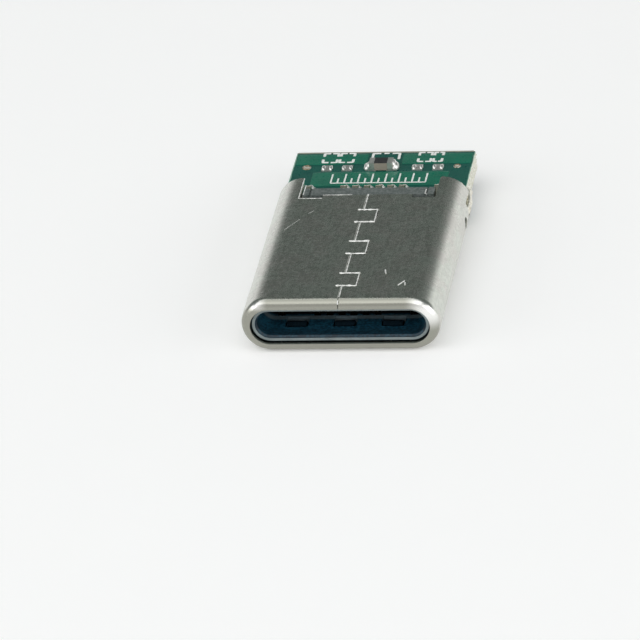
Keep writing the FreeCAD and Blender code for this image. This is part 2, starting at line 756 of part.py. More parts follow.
def make_resistor_solder():
    """Sloping fillets of solder at the two ends of the resistor."""
    y = from_rear(COMPONENT_ROW)
    fillets = []
    for direction in (-1, 1):
        x = COMPONENT_X[1] + direction * CHIP_LENGTH / 2
        tip = x + direction * CHIP_SOLDER_RUN
        slope = [
            (x, pad_face, 0),
            (tip, pad_face, 0),
            ((x + tip) / 2, pad_face + CHIP_HEIGHT / 3, CHIP_HEIGHT),
            (x, pad_face + CHIP_HEIGHT * 0.8, 0),
        ]
        fillet = rounded_face(slope, section(y - CHIP_WIDTH / 2))
        fillets.append(fillet.extrude(Vector(0, CHIP_WIDTH, 0)))
    return fillets


def save(name, shape):
    """Write one node, moved so that the origin is at the middle of the underside."""
    solids = shape if isinstance(shape, list) else [shape]
    placed = Part.makeCompound(solids) if len(solids) > 1 else solids[0]
    placed = placed.translated(Vector(0, -board_rear / 2, half_height))
    placed.exportStep(f"parts/{name}.step")


def main():
    """Build every node and write it."""
    os.makedirs("parts", exist_ok=True)
    save("shell", make_shell())
    save("front_insulator", make_front_insulator())
    save("upper_contact_block", make_contact_block(SEAM_SIDE_BAR))
    save("lower_contact_block", turned_over(make_contact_block(PAD_SIDE_BAR)))
    save("latch_plate", make_latch_plate())
    spring = make_ground_spring()
    save("upper_ground_spring", spring)
    save("lower_ground_spring", turned_over(spring))
    for place in CONTACT_PLACES:
        contact = make_contact(place)
        save(f"upper_contact_{place}", contact)
        save(f"lower_contact_{place}", turned_over(contact))
    save("board", make_board())
    save("minus_pad", make_wire_pad(minus_pad_x, MINUS_PAD_HOLES))
    save("plus_pad", make_wire_pad(plus_pad_x, PLUS_PAD_HOLES))
    pads = make_contact_pads()
    save("upper_contact_pads", pads)
    save("lower_contact_pads", [turned_over(pad) for pad in pads])
    save("component_pads", make_component_pads())
    save("resistor_body", make_resistor_body())
    save("resistor_caps", make_resistor_caps())
    save("resistor_solder", make_resistor_solder())
    save("upper_foot_solder", make_foot_solder(CONTACT_PLACES))
    stray = bead(contact_x(STRAY_BEAD_PLACE), foot_end, BEAD_WIDTH, BEAD_WIDTH, BEAD_HEIGHT, board_half)
    lower_beads = make_foot_solder(CONTACT_PLACES) + [stray]
    save("lower_foot_solder", [turned_over(solder) for solder in lower_beads])
    save("left_shell_solder", make_shell_solder(-1))
    save("right_shell_solder", make_shell_solder(1))


main()
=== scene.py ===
import logging
import math
from collections.abc import Iterator, Sequence
from contextlib import contextmanager
from dataclasses import dataclass
from enum import Enum

import bmesh
import bpy
from mathutils import Matrix, Vector


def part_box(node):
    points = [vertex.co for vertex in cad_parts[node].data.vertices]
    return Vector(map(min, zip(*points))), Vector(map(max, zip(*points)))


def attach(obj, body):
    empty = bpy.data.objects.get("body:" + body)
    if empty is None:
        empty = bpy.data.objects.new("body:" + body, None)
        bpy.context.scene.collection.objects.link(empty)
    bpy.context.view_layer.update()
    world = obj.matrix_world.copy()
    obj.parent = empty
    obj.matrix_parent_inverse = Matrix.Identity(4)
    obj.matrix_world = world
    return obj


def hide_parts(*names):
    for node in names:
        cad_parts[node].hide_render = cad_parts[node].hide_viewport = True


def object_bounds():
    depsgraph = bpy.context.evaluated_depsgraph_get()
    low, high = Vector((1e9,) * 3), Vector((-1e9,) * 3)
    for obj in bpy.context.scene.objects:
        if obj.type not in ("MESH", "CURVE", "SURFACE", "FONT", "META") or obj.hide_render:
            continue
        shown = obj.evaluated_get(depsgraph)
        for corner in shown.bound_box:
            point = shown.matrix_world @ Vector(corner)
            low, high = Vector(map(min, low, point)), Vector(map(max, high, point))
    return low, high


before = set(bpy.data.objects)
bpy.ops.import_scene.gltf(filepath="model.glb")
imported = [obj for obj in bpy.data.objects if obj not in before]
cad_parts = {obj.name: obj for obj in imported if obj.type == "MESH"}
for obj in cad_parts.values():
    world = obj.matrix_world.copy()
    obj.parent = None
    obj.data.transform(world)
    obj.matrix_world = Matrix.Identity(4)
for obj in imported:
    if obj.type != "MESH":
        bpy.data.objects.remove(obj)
cad_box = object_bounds()

# Sizes below are in millimetres in the row's frame, and MM turns them into Blender's metres.
# The mouth faces -Y, the board lies towards +Y, the seam side faces +Z, the wire pads -Z.
MM = 0.001
(_, MOUTH, _), (_, REAR, TOP) = ([round(part / MM, 6) for part in corner] for corner in cad_box)
CONTACT_PLACES = (1, 4, 5, 6, 7, 8, 9, 12)
log = logging.getLogger("wire_plug")

Number = "float | Value"
Colour = tuple[float, float, float]
Point = tuple[float, float]
Spot = tuple[float, float, float]
Line = Sequence[Point]

BLACK: Colour = (0.0, 0.0, 0.0)
WHITE: Colour = (1.0, 1.0, 1.0)


class Face(Enum):
    """The two faces of the board."""

    SEAM_SIDE = 1
    PAD_SIDE = -1


class Blend(Enum):
    """Ways to lay one colour over another."""

    OVER = "MIX"
    TIMES = "MULTIPLY"


class Value:
    """A number socket in a node tree. Operators on it add Math nodes."""

    def __init__(self, tree: "Tree", socket: bpy.types.NodeSocket) -> None:
        """Wrap one output socket.

        Args:
            tree: The tree that holds the socket.
            socket: The output socket.
        """
        self.tree = tree
        self.socket = socket

    def __add__(self, other: Number) -> "Value":
        """Sum of the two."""
        return self.tree.math("ADD", self, other)

    __radd__ = __add__

    def __sub__(self, other: Number) -> "Value":
        """This less the other."""
        return self.tree.math("SUBTRACT", self, other)

    def __rsub__(self, other: Number) -> "Value":
        """The other less this."""
        return self.tree.math("SUBTRACT", other, self)

    def __mul__(self, other: Number) -> "Value":
        """Product of the two."""
        return self.tree.math("MULTIPLY", self, other)

    __rmul__ = __mul__

    def __truediv__(self, other: Number) -> "Value":
        """This over the other."""
        return self.tree.math("DIVIDE", self, other)

    def __neg__(self) -> "Value":
        """Minus this."""
        return self.tree.math("MULTIPLY", self, -1.0)

    def __abs__(self) -> "Value":
        """Size without its sign."""
        return self.tree.math("ABSOLUTE", self)

    def highest(self, other: Number) -> "Value":
        """The larger of the two."""
        return self.tree.math("MAXIMUM", self, other)

    def rise(self, low: float, high: float) -> "Value":
        """Smooth step.

        Args:
            low: Where it starts.
            high: Where it ends; below low for a fall.

        Returns:
            A value from 0 at low to 1 at high.
        """
        if low > high:
            return 1 - self.rise(high, low)
        node = self.tree.node(
            "ShaderNodeMapRange",
            {"interpolation_type": "SMOOTHSTEP"},
            {"Value": self, "From Min": low, "From Max": high},
        )
        return self.tree.number(node, "Result")

    def band(self, centre: float, half: float, soft: float) -> "Value":
        """Band about a centre.

        Args:
            centre: Middle of the band.
            half: Half its width.
            soft: Width of its soft edge.

        Returns:
            1 inside the band and 0 outside.
        """
        return abs(self - centre).rise(half + soft, half)


@dataclass(frozen=True)
class Place:
    """A vector, such as object coordinates in millimetres, whole and by axis."""

    vector: bpy.types.NodeSocket
    x: Value
    y: Value
    z: Value


@dataclass(frozen=True)
class Grain:
    """A noise: its scale, how many octaves, the weight of the finer ones, and its stretch by axis."""

    scale: float
    octaves: float = 3.0
    weight: float = 0.5
    stretch: Spot = (1.0, 1.0, 1.0)


class Tree:
    """A shader or geometry tree under construction."""

    def __init__(self, nodes: bpy.types.NodeTree) -> None:
        """Take a node tree.

        Args:
            nodes: Blender's own tree.
        """
        self.tree = nodes

    def node(self, kind: str, settings: dict | None = None, inputs: dict | None = None) -> bpy.types.Node:
        """Add any node.

        Args:
            kind: Blender's name of the node type.
            settings: Properties, set first.
            inputs: Values, sockets or Value objects by socket name or number.

        Returns:
            The new node.
        """
        made = self.tree.nodes.new(kind)
        for name, value in (settings or {}).items():
            setattr(made, name, value)
        for name, value in (inputs or {}).items():
            self.feed(made.inputs[name], value)
        return made

    def feed(self, socket: bpy.types.NodeSocket, value: object) -> None:
        """Give a socket its value or link.

        Args:
            socket: The input socket.
            value: A number, tuple, socket or Value.
        """
        if isinstance(value, Value):
            self.tree.links.new(value.socket, socket)
        elif isinstance(value, bpy.types.NodeSocket):
            self.tree.links.new(value, socket)
        elif socket.type == "RGBA" and len(value) == 3:
            socket.default_value = (*value, 1.0)
        else:
            socket.default_value = value

    def number(self, node: bpy.types.Node, output: str | int = 0) -> Value:
        """An output of a node as a Value."""
        return Value(self, node.outputs[output])

    def math(self, operation: str, first: Number, second: Number = 0.0) -> Value:
        """One Math node.

        Args:
            operation: Its operation.
            first: First input.
            second: Second input, where it has one.

        Returns:
            Its result.
        """
        return self.number(self.node("ShaderNodeMath", {"operation": operation}, {0: first, 1: second}))

    def place(self) -> Place:
        """Object coordinates in millimetres."""
        source = self.node("ShaderNodeTexCoord").outputs["Object"]
        scaled = self.vector("SCALE", source, {"Scale": 1 / MM})
        return self.split(scaled)

    def vector(self, operation: str, first: object, more: dict) -> bpy.types.NodeSocket:
        """One Vector Math node.

        Args:
            operation: Its operation.
            first: First vector.
            more: Its other inputs.

        Returns:
            Its vector output.
        """
        return self.node("ShaderNodeVectorMath", {"operation": operation}, {0: first, **more}).outputs[0]

    def split(self, vector: bpy.types.NodeSocket) -> Place:
        """Take a vector apart."""
        parts = self.node("ShaderNodeSeparateXYZ", {}, {0: vector})
        return Place(vector, *(self.number(parts, index) for index in range(3)))

    def join(self, x: Number, y: Number, z: Number) -> bpy.types.NodeSocket:
        """Put a vector together."""
        return self.node("ShaderNodeCombineXYZ", {}, {0: x, 1: y, 2: z}).outputs[0]

    def noise(self, at: Place, grain: Grain) -> Value:
        """Noise about 0.5.

        Args:
            at: The coordinates.
            grain: What the noise is like.

        Returns:
            The noise.
        """
        stretched = self.vector("MULTIPLY", at.vector, {1: grain.stretch})
        made = self.node("ShaderNodeTexNoise", {}, {
            "Vector": stretched, "Scale": grain.scale, "Detail": grain.octaves, "Roughness": grain.weight,
        })
        return self.number(made)

    def mix(self, share: Number, base: object, top: object,
            blend: Blend = Blend.OVER) -> bpy.types.NodeSocket:
        """Lay one colour over another.

        Args:
            share: How much of the top colour.
            base: Colour or socket below.
            top: Colour or socket above.
            blend: How they combine.

        Returns:
            The mixed colour.
        """
        # The node's colours are its inputs 6 and 7 and its output 2.
        made = self.node("ShaderNodeMix", {"data_type": "RGBA", "blend_type": blend.value}, {
            "Factor": share, 6: base, 7: top,
        })
        return made.outputs[2]

    def bump(self, height: Value, depth: float) -> bpy.types.NodeSocket:
        """Bump from a height.

        Args:
            height: Height from 0 to 1.
            depth: What 1 stands for, in millimetres.

        Returns:
            The bent normal.
        """
        made = self.node("ShaderNodeBump", {}, {"Strength": 1.0, "Distance": depth * MM, "Height": height})
        return made.outputs["Normal"]


class Surface(Tree):
    """A material's tree with one Principled shader, fed by name."""

    def __init__(self, name: str) -> None:
        """Start a material.

        Args:
            name: Its name.
        """
        self.material = bpy.data.materials.new(name)
        self.material.use_nodes = True
        super().__init__(self.material.node_tree)
        self.tree.nodes.clear()
        self.shader = self.node("ShaderNodeBsdfPrincipled")
        self.node("ShaderNodeOutputMaterial", {}, {"Surface": self.shader.outputs[0]})

    def facing(self) -> Place:
        """The normal, whole and by axis."""
        return self.split(self.node("ShaderNodeNewGeometry").outputs["Normal"])

    def set(self, **inputs: object) -> None:
        """Feed the shader.

        Args:
            **inputs: Sockets by name, with _ for a space, such as base_color.
        """
        for name, value in inputs.items():
            self.feed(self.shader.inputs[name.replace("_", " ").title()], value)


class Recipe(Tree):
    """A Geometry Nodes tree with named sizes, which works in millimetres."""

    def __init__(self, name: str, sizes: dict[str, float]) -> None:
        """Start a tree.

        Args:
            name: Its name.
            sizes: Its inputs by name, with their values.
        """
        super().__init__(bpy.data.node_groups.new(name, "GeometryNodeTree"))
        self.sizes = sizes
        sockets = self.tree.interface
        sockets.new_socket("Geometry", in_out="INPUT", socket_type="NodeSocketGeometry")
        sockets.new_socket("Geometry", in_out="OUTPUT", socket_type="NodeSocketGeometry")
        for size in sizes:
            sockets.new_socket(size, in_out="INPUT", socket_type="NodeSocketFloat")
        self.given = self.node("NodeGroupInput")
        self.base = self.given.outputs["Geometry"]

    def size(self, name: str) -> Value:
        """A named size."""
        return self.number(self.given, name)

    def step(self, kind: str, settings: dict, inputs: dict) -> bpy.types.NodeSocket:
        """Add a node and take its first output."""
        return self.node(kind, settings, inputs).outputs[0]

    def ring(self, sides: int, radius: Value) -> bpy.types.NodeSocket:
        """A circle of a few sides, as a closed curve."""
        return self.step("GeometryNodeCurvePrimitiveCircle", {}, {"Resolution": sides, "Radius": radius})

    def flattened(self, geometry: bpy.types.NodeSocket, level: Number = 0.0) -> bpy.types.NodeSocket:
        """Flatten a swept circle from the size Width to the size Height, and lift it.

        Args:
            geometry: What is flattened.
            level: How far it is lifted.

        Returns:
            The flattened geometry.
        """
        squash = self.join(1.0, 1.0, self.size("Height") * 2 / self.size("Width"))
        place = self.join(0.0, 0.0, level)
        return self.step("GeometryNodeTransform", {},
                         {"Geometry": geometry, "Translation": place, "Scale": squash})

    def shaken(self, geometry: bpy.types.NodeSocket, scale: float, reach: Value,
               axes: Spot) -> bpy.types.NodeSocket:
        """Move points by noise.

        Args:
            geometry: What is moved.
            scale: Scale of the noise.
            reach: How far it moves them.
            axes: Share of the move along each axis.

        Returns:
            The moved geometry.
        """
        noise = self.node("ShaderNodeTexNoise", {}, {"Scale": scale, "Detail": 2.0})
        sway = self.vector("SUBTRACT", noise.outputs["Color"], {1: (0.5, 0.5, 0.5)})
        sway = self.vector("SCALE", sway, {"Scale": reach})
        offset = self.vector("MULTIPLY", sway, {1: axes})
        return self.step("GeometryNodeSetPosition", {}, {"Geometry": geometry, "Offset": offset})

    def made(self, geometry: bpy.types.NodeSocket, material: bpy.types.Material,
             base: bpy.types.Mesh) -> bpy.types.Mesh:
        """Finish the tree and run it on a mesh.

        Args:
            geometry: What the tree has made.
            material: Its material.
            base: The mesh of points or lines that it starts from.

        Returns:
            The result as a plain mesh in metres.
        """
        real = self.step("GeometryNodeRealizeInstances", {}, {"Geometry": geometry})
        covered = self.step("GeometryNodeSetMaterial", {}, {"Geometry": real, "Material": material})
        self.node("NodeGroupOutput", {}, {"Geometry": covered})
        shape = in_scene(self.tree.name, base)
        modifier = shape.modifiers.new(self.tree.name, "NODES")
        modifier.node_group = self.tree
        for item in self.tree.interface.items_tree:
            if item.in_out == "INPUT" and item.name in self.sizes:
                modifier[item.identifier] = self.sizes[item.name]
        return evaluated_mesh(shape, MM)


@dataclass(frozen=True)
class Ridge:
    """Low ridge along lines on a flat face: a burr, a printed stroke or a trace. In millimetres."""

    width: float
    height: float
    waver: float = 0.0
    unevenness: float = 0.0
    waver_scale: float = 3.0
    unevenness_scale: float = 5.0
    thinnest: float = 0.05
    spacing: float = 0.05
    sides: int = 8

    def along(self, name: str, lines: Sequence[Line], level: float,
              material: bpy.types.Material) -> bpy.types.Mesh:
        """Lay the ridge along lines.

        Args:
            name: Name of the tree.
            lines: The lines, each as (x, y) points.
            level: Height of the face.
            material: Its material.

        Returns:
            Its mesh.
        """
        recipe = Recipe(name, {
            "Width": self.width, "Height": self.height, "Waver": self.waver, "Level": level,
            "Unevenness": self.unevenness, "Spacing": self.spacing,
        })
        path = recipe.step("GeometryNodeMeshToCurve", {}, {"Mesh": recipe.base})
        path = recipe.step("GeometryNodeResampleCurve", {"mode": "LENGTH"},
                           {"Curve": path, "Length": recipe.size("Spacing")})
        path = recipe.shaken(path, self.waver_scale, recipe.size("Waver"), (1.0, 1.0, 0.0))
        noise = recipe.number(recipe.node("ShaderNodeTexNoise", {}, {
            "Scale": self.unevenness_scale, "Detail": 2.0,
        }))
        thick = (1 + (noise - 0.5) * recipe.size("Unevenness") * 2).highest(self.thinnest)
        ring = recipe.ring(self.sides, recipe.size("Width") / 2)
        swept = recipe.step("GeometryNodeCurveToMesh", {},
                            {"Curve": path, "Profile Curve": ring, "Scale": thick, "Fill Caps": True})
        return recipe.made(recipe.flattened(swept, recipe.size("Level")), material, line_mesh(lines))


@dataclass(frozen=True)
class Beads:
    """Rounded beads at points of a face, each a little different. In millimetres."""

    width: float
    length: float
    height: float
    unevenness: float = 0.5
    smallest: float = 0.85
    largest: float = 1.08
    lump_scale: float = 1.3
    lump_axes: Spot = (1.0, 1.0, 0.6)
    subdivisions: int = 4
    seed: int = 7

    def at(self, name: str, points: Sequence[Spot], material: bpy.types.Material) -> bpy.types.Mesh:
        """Set a bead at each point.

        Args:
            name: Name of the tree.
            points: Middles of the beads on the face.
            material: Their material.

        Returns:
            Their mesh.
        """
        recipe = Recipe(name, {
            "Width": self.width, "Length": self.length, "Height": self.height,
            "Unevenness": self.unevenness, "Smallest": self.smallest, "Largest": self.largest,
        })
        ball = recipe.step("GeometryNodeMeshIcoSphere", {},
                           {"Radius": 1.0, "Subdivisions": self.subdivisions})
        ball = recipe.shaken(ball, self.lump_scale, recipe.size("Unevenness"), self.lump_axes)
        half = recipe.join(recipe.size("Width") / 2, recipe.size("Length") / 2, recipe.size("Height"))
        bead = recipe.step("GeometryNodeTransform", {}, {"Geometry": ball, "Scale": half})
        change = recipe.node("FunctionNodeRandomValue", {"data_type": "FLOAT"}, {
            2: recipe.size("Smallest"), 3: recipe.size("Largest"), "Seed": self.seed,
        })
        row = recipe.step("GeometryNodeInstanceOnPoints", {}, {
            "Points": recipe.base, "Instance": bead, "Scale": change.outputs[1],
        })
        return recipe.made(row, material, point_mesh(points))


@dataclass(frozen=True)
class Eyelets:
    """Plated rings round drilled holes. In millimetres."""

    hole: float
    width: float
    height: float
    steps: int = 24
    sides: int = 8

    def at(self, name: str, points: Sequence[Spot], material: bpy.types.Material) -> bpy.types.Mesh:
        """Set a ring round each hole.

        Args:
            name: Name of the tree.
            points: Middles of the holes on the face.
            material: The rings' material.

        Returns:
            Their mesh.
        """
        recipe = Recipe(name, {"Hole": self.hole, "Width": self.width, "Height": self.height})
        width = recipe.size("Width")
        path = recipe.ring(self.steps, (recipe.size("Hole") + width) / 2)
        section = recipe.ring(self.sides, width / 2)
        ring = recipe.step("GeometryNodeCurveToMesh", {}, {"Curve": path, "Profile Curve": section})
        rings = recipe.step("GeometryNodeInstanceOnPoints", {}, {
            "Points": recipe.base, "Instance": recipe.flattened(ring),
        })
        return recipe.made(rings, material, point_mesh(points))


@dataclass(frozen=True)
class Strands:
    """Broken glass strands that stand out of a sawn edge. In millimetres."""

    thickness: float = 0.018
    length: float = 0.13
    spacing: float = 0.06
    lean: float = 0.9
    scatter_scale: float = 60.0
    scatter_axes: Spot = (0.2, 1.0, 2.0)
    sides: int = 5
    seed: int = 11

    def along(self, name: str, rows: Sequence[Sequence[Spot]],
              material: bpy.types.Material) -> bpy.types.Mesh:
        """Set strands along rows on the edge.

        Args:
            name: Name of the tree.
            rows: The rows, each as its first and last point.
            material: The strands' material.

        Returns:
            Their mesh.
        """
        recipe = Recipe(name, {
            "Thickness": self.thickness, "Length": self.length, "Spacing": self.spacing, "Lean": self.lean,
        })
        half = recipe.size("Length") / 2
        lean = recipe.size("Lean")
        path = recipe.step("GeometryNodeMeshToCurve", {}, {"Mesh": recipe.base})
        spots = recipe.step("GeometryNodeCurveToPoints", {"mode": "LENGTH"},
                            {"Curve": path, "Length": recipe.size("Spacing")})
        spots = recipe.shaken(spots, self.scatter_scale, recipe.size("Spacing"), self.scatter_axes)
        line = recipe.step("GeometryNodeCurvePrimitiveLine", {}, {
            "Start": recipe.join(-half, 0.0, 0.0), "End": recipe.join(half, 0.0, 0.0),
        })
        section = recipe.ring(self.sides, recipe.size("Thickness") / 2)
        strand = recipe.step("GeometryNodeCurveToMesh", {},
                             {"Curve": line, "Profile Curve": section, "Fill Caps": True})
        turn = recipe.node("FunctionNodeRandomValue", {"data_type": "FLOAT_VECTOR"}, {
            0: recipe.join(0.0, -lean, -lean), 1: recipe.join(0.0, lean, lean), "Seed": self.seed,
        })
        fringe = recipe.step("GeometryNodeInstanceOnPoints", {}, {
            "Points": spots, "Instance": strand, "Rotation": turn.outputs[0],
        })
        return recipe.made(fringe, material, line_mesh(rows))


@dataclass(frozen=True)
class Finish:
    """A finish of the object, which paints a surface of its own name."""

    name: str

    def material(self) -> bpy.types.Material:
        """Build the material.

        Returns:
            The material.
        """
        made = Surface(self.name)
        self.paint(made, made.place())
        return made.material

    def paint(self, made: Surface, at: Place) -> None:
        """Feed the surface's shader.

        Args:
            made: The surface.
            at: Object coordinates.
        """
        raise NotImplementedError


@dataclass(frozen=True)
class PlatedSheet(Finish):
    """Nickel plated steel sheet: satin and mottled on its flats, smoother on its sides and its lip. Its dull
    mottle weighs more on flat faces, a painted shade that leaves the curved sides paler.

    lip_highlights holds where painted highlights brighten the lip's corners, from and to along X and Z. The
    lip's own colour is a painted shade, darker than the sheet.
    """

    name: str = "plated_sheet"
    pale: Colour = (0.735, 0.74, 0.69)
    dull: Colour = (0.44, 0.455, 0.415)
    cool: Colour = (0.975, 1.0, 0.985)
    warm: Colour = (1.0, 0.975, 0.98)
    # lip is a painted shade of the curled lip, and corner the painted highlight at its corners.
    lip: Colour = (0.345, 0.345, 0.300)
    corner: Colour = (0.95, 0.95, 0.92)
    roughness: float = 0.27
    cloud: Grain = Grain(0.9, 4.0, 0.6)
    speckle: Grain = Grain(6.5, 4.0, 0.65)
    blotch: Grain = Grain(4.5, 3.0, 0.6)
    drawn: Grain = Grain(1.6, 3.0, 0.6, (6.0, 0.5, 6.0))
    lip_end: float = -6.85
    lip_fade: float = 0.12
    lip_highlights: tuple[tuple[Point, Point], ...] = (
        ((2.7, 3.6), (0.9, 1.7)),
        ((-2.9, -3.5), (1.9, 2.2)),
    )

    def paint(self, made: Surface, at: Place) -> None:
        """Mottle the sheet, and smooth the lip, with painted shade in its colour and painted highlights at
        its two corners.

        Args:
            made: The surface.
            at: Object coordinates.
        """
        flat = abs(made.facing().z).rise(0.90, 0.985)
        curled = at.y.rise(self.lip_end, self.lip_end - self.lip_fade)
        cloud = made.noise(at, self.cloud)
        fine = made.noise(at, self.speckle)
        blotch = made.noise(at, self.blotch)
        drawn = made.noise(at, self.drawn)
        mottle = cloud * 0.20 + blotch * 0.45 + fine + drawn * 0.45
        # Painted shade: the mottle is the sheet's own, but the flat mask gives flat faces more of the dull
        # colour, so the curved sides read paler.
        colour = made.mix(mottle.rise(0.83, 1.27) * (0.38 + flat * 0.62), self.pale, self.dull)
        tint = made.mix(cloud.rise(0.40, 0.62), self.cool, self.warm)
        colour = made.mix(1.0, colour, tint, Blend.TIMES)
        # Painted highlights at the lip's corners, laid over the lip's painted shade.
        wear_and_highlight = sum(at.x.rise(*across) * at.z.rise(*up) for across, up in self.lip_highlights)
        colour = made.mix(curled, colour, made.mix(wear_and_highlight, self.lip, self.corner))
        roughness = self.roughness + (fine - 0.5) * 0.14 * flat + (cloud - 0.5) * 0.10 - curled * 0.03
        height = fine * 0.6 * (0.25 + flat * 0.75) + drawn * 0.4 * flat + blotch * 0.4 * (1 - flat)
        made.set(base_color=colour, metallic=1.0, roughness=roughness, normal=made.bump(height, 0.005))


@dataclass(frozen=True)
class Patchy(Finish):
    """Two colours in patches, which also change the roughness and the height.

    turn holds the noise at which the base starts to give way to the patch, and at which it has.
    """

    base: Colour
    patch: Colour
    grain: Grain
    turn: Point
    metallic: float
    roughness: float
    unevenness: float
    depth: float

    def paint(self, made: Surface, at: Place) -> None:
        """Lay the patches over the base.

        Args:
            made: The surface.
            at: Object coordinates.
        """
        patches = made.noise(at, self.grain)
        made.set(base_color=made.mix(patches.rise(*self.turn), self.base, self.patch),
                 metallic=self.metallic, roughness=self.roughness + (patches - 0.5) * self.unevenness,
                 normal=made.bump(patches, self.depth))


@dataclass(frozen=True)
class ShearedEdge(Patchy):
    """Bright sheared edge of the sheet, where the plating is burnished."""

    name: str = "burnished_edge"
    base: Colour = (0.97, 0.97, 0.95)
    patch: Colour = (0.76, 0.77, 0.74)
    grain: Grain = Grain(3.0, 4.0, 0.7)
    turn: Point = (0.42, 0.62)
    metallic: float = 0.35
    roughness: float = 0.45
    unevenness: float = 0.3
    depth: float = 0.004


@dataclass(frozen=True)
class SpringMetal(Patchy):
    """Spring steel of the hidden plates, drawn lengthwise, in dark colours that are painted shade."""

    name: str = "shaded_spring_metal"
    # Painted shade: base and patch are far darker than bare steel and stand in for the shadow on the plates.
    base: Colour = (0.035, 0.075, 0.105)
    patch: Colour = (0.028, 0.060, 0.084)
    grain: Grain = Grain(2.0, 3.0, 0.5, (9.0, 0.8, 9.0))
    turn: Point = (0.3, 0.7)
    metallic: float = 1.0
    roughness: float = 0.50
    unevenness: float = 0.2
    depth: float = 0.003


@dataclass(frozen=True)
class BrightSolder(Patchy):
    """Solder that set bright, with a slightly frosted skin."""

    name: str = "bright_solder"
    base: Colour = (0.93, 0.93, 0.91)
    patch: Colour = (0.70, 0.69, 0.65)
    grain: Grain = Grain(9.0, 4.0, 0.6)
    turn: Point = (0.45, 0.7)
    metallic: float = 1.0
    roughness: float = 0.36
    unevenness: float = 0.3
    depth: float = 0.01


@dataclass(frozen=True)
class TarnishedRing(Patchy):
    """Plating round a drilled hole: brownish, with bright spots."""

    name: str = "tarnished_ring"
    base: Colour = (0.34, 0.27, 0.18)
    patch: Colour = (0.80, 0.78, 0.70)
    grain: Grain = Grain(4.0, 4.0, 0.6)
    turn: Point = (0.50, 0.60)
    metallic: float = 1.0
    roughness: float = 0.32
    unevenness: float = 0.3
    depth: float = 0.006


@dataclass(frozen=True)
class PrintedInk(Patchy):
    """White ink, slightly thin in places."""

    name: str = "printed_ink"
    base: Colour = (0.86, 0.88, 0.85)
    patch: Colour = (0.58, 0.70, 0.64)
    grain: Grain = Grain(9.0, 4.0, 0.7)
    turn: Point = (0.6, 0.78)
    metallic: float = 0.0
    roughness: float = 0.5
    unevenness: float = 0.0
    depth: float = 0.006


@dataclass(frozen=True)
class Moulding(Finish):
    """Glass filled moulding with flow lines and fine pits."""

    colour: Colour
    bloom: Colour
    roughness: float
    flow: Grain = Grain(1.6, 4.0, 0.6, (1.0, 6.0, 1.0))
    pits: Grain = Grain(9.0, 4.0, 0.7)

    def paint(self, made: Surface, at: Place) -> None:
        """Lay bloom over the colour where the pits are.

        Args:
            made: The surface.
            at: Object coordinates.
        """
        flow = made.noise(at, self.flow)
        pits = made.noise(at, self.pits)
        colour = made.mix((flow * 0.3 + pits * 0.9).rise(0.52, 0.70), self.colour, self.bloom)
        made.set(base_color=self.shaded(made, at, flow, colour),
                 roughness=self.roughness + (pits - 0.5) * 0.25,
                 normal=made.bump(pits * 0.7 + flow * 0.3, 0.008))

    def shaded(self, made: Surface, at: Place, flow: Value,
               colour: bpy.types.NodeSocket) -> bpy.types.NodeSocket:
        """The colour as it is at a place, here the same all over."""
        return colour


@dataclass(frozen=True)
class NoseMoulding(Moulding):
    """Moulding of the nose liner: painted light on its rim, painted shade behind it, and a painted shadow at
    the cavity's far end.

    A faint painted sheen lies across the cavity where its painted shadow begins.
    """

    # rim is painted light; shade, sheen and dark, with their places, are painted shade, a painted sheen and
    # a painted shadow.
    rim: Colour = (0.30, 0.35, 0.35)
    rim_end: float = -6.93
    rim_fade: float = 0.03
    shade_start: float = -5.9
    shade_end: float = -6.7
    shade: float = 0.65
    sheen: Colour = (0.260, 0.330, 0.350)
    sheen_at: float = -5.38
    sheen_half: float = 0.08
    sheen_fade: float = 0.14
    dark: Colour = (0.001, 0.002, 0.003)
    shadow_from: float = -5.20
    shadow_fade: float = 0.18

    def shaded(self, made: Surface, at: Place, flow: Value,
               colour: bpy.types.NodeSocket) -> bpy.types.NodeSocket:
        """The colour with its painted light and shade at a depth of the cavity.

        Args:
            made: The surface.
            at: Object coordinates.
            flow: The flow lines.
            colour: The moulding's own colour.

        Returns:
            The colour there.
        """
        # Painted shade just behind the rim.
        colour = made.mix(at.y.rise(self.shade_start, self.shade_end) * self.shade, colour, self.dark)
        # Painted sheen across the cavity.
        sheen = at.y.band(self.sheen_at, self.sheen_half, self.sheen_fade) * (flow * 0.7 + 0.35)
        colour = made.mix(sheen, colour, self.sheen)
        # Painted shadow in the colour dark, from shadow_from to the cavity's far end.
        colour = made.mix(at.y.rise(self.shadow_from, self.shadow_from + self.shadow_fade), colour, self.dark)
        # Painted light: the rim is paler in the colour rim.
        front = at.y.rise(self.rim_end, self.rim_end - self.rim_fade)
        return made.mix(front * (flow * 0.8 + 0.35), colour, self.rim)


@dataclass(frozen=True)
class GoldPlate(Finish):
    """Thin gold over nickel, silvery where it is rubbed, and darkened by painted shade inside the nose."""

    name: str = "gold_plate"
    gold: Colour = (0.72, 0.60, 0.36)
    rubbed: Colour = (0.84, 0.80, 0.70)
    cavity_shade: Colour = (0.16, 0.12, 0.06)
    roughness: float = 0.24
    drawn: Grain = Grain(2.0, 3.0, 0.5, (12.0, 1.4, 12.0))
    cavity_shade_from: float = 1.0
    cavity_shade_to: float = -1.0

    def paint(self, made: Surface, at: Place) -> None:
        """Rub the plate's flats, and darken the plate with painted shade towards the mouth.

        Args:
            made: The surface.
            at: Object coordinates.
        """
        drawn = made.noise(at, self.drawn)
        wear_and_highlight = abs(made.facing().z).rise(0.55, 0.9) * (drawn * 0.5 + 0.55)
        colour = made.mix(wear_and_highlight, self.gold, self.rubbed)
        # Painted shade: the plate darkens towards the mouth, where the contacts lie in the cavity's shadow.
        colour = made.mix(at.y.rise(self.cavity_shade_from, self.cavity_shade_to), colour, self.cavity_shade)
        made.set(base_color=colour, metallic=1.0, roughness=self.roughness + (drawn - 0.5) * 0.2,
                 normal=made.bump(drawn, 0.003))


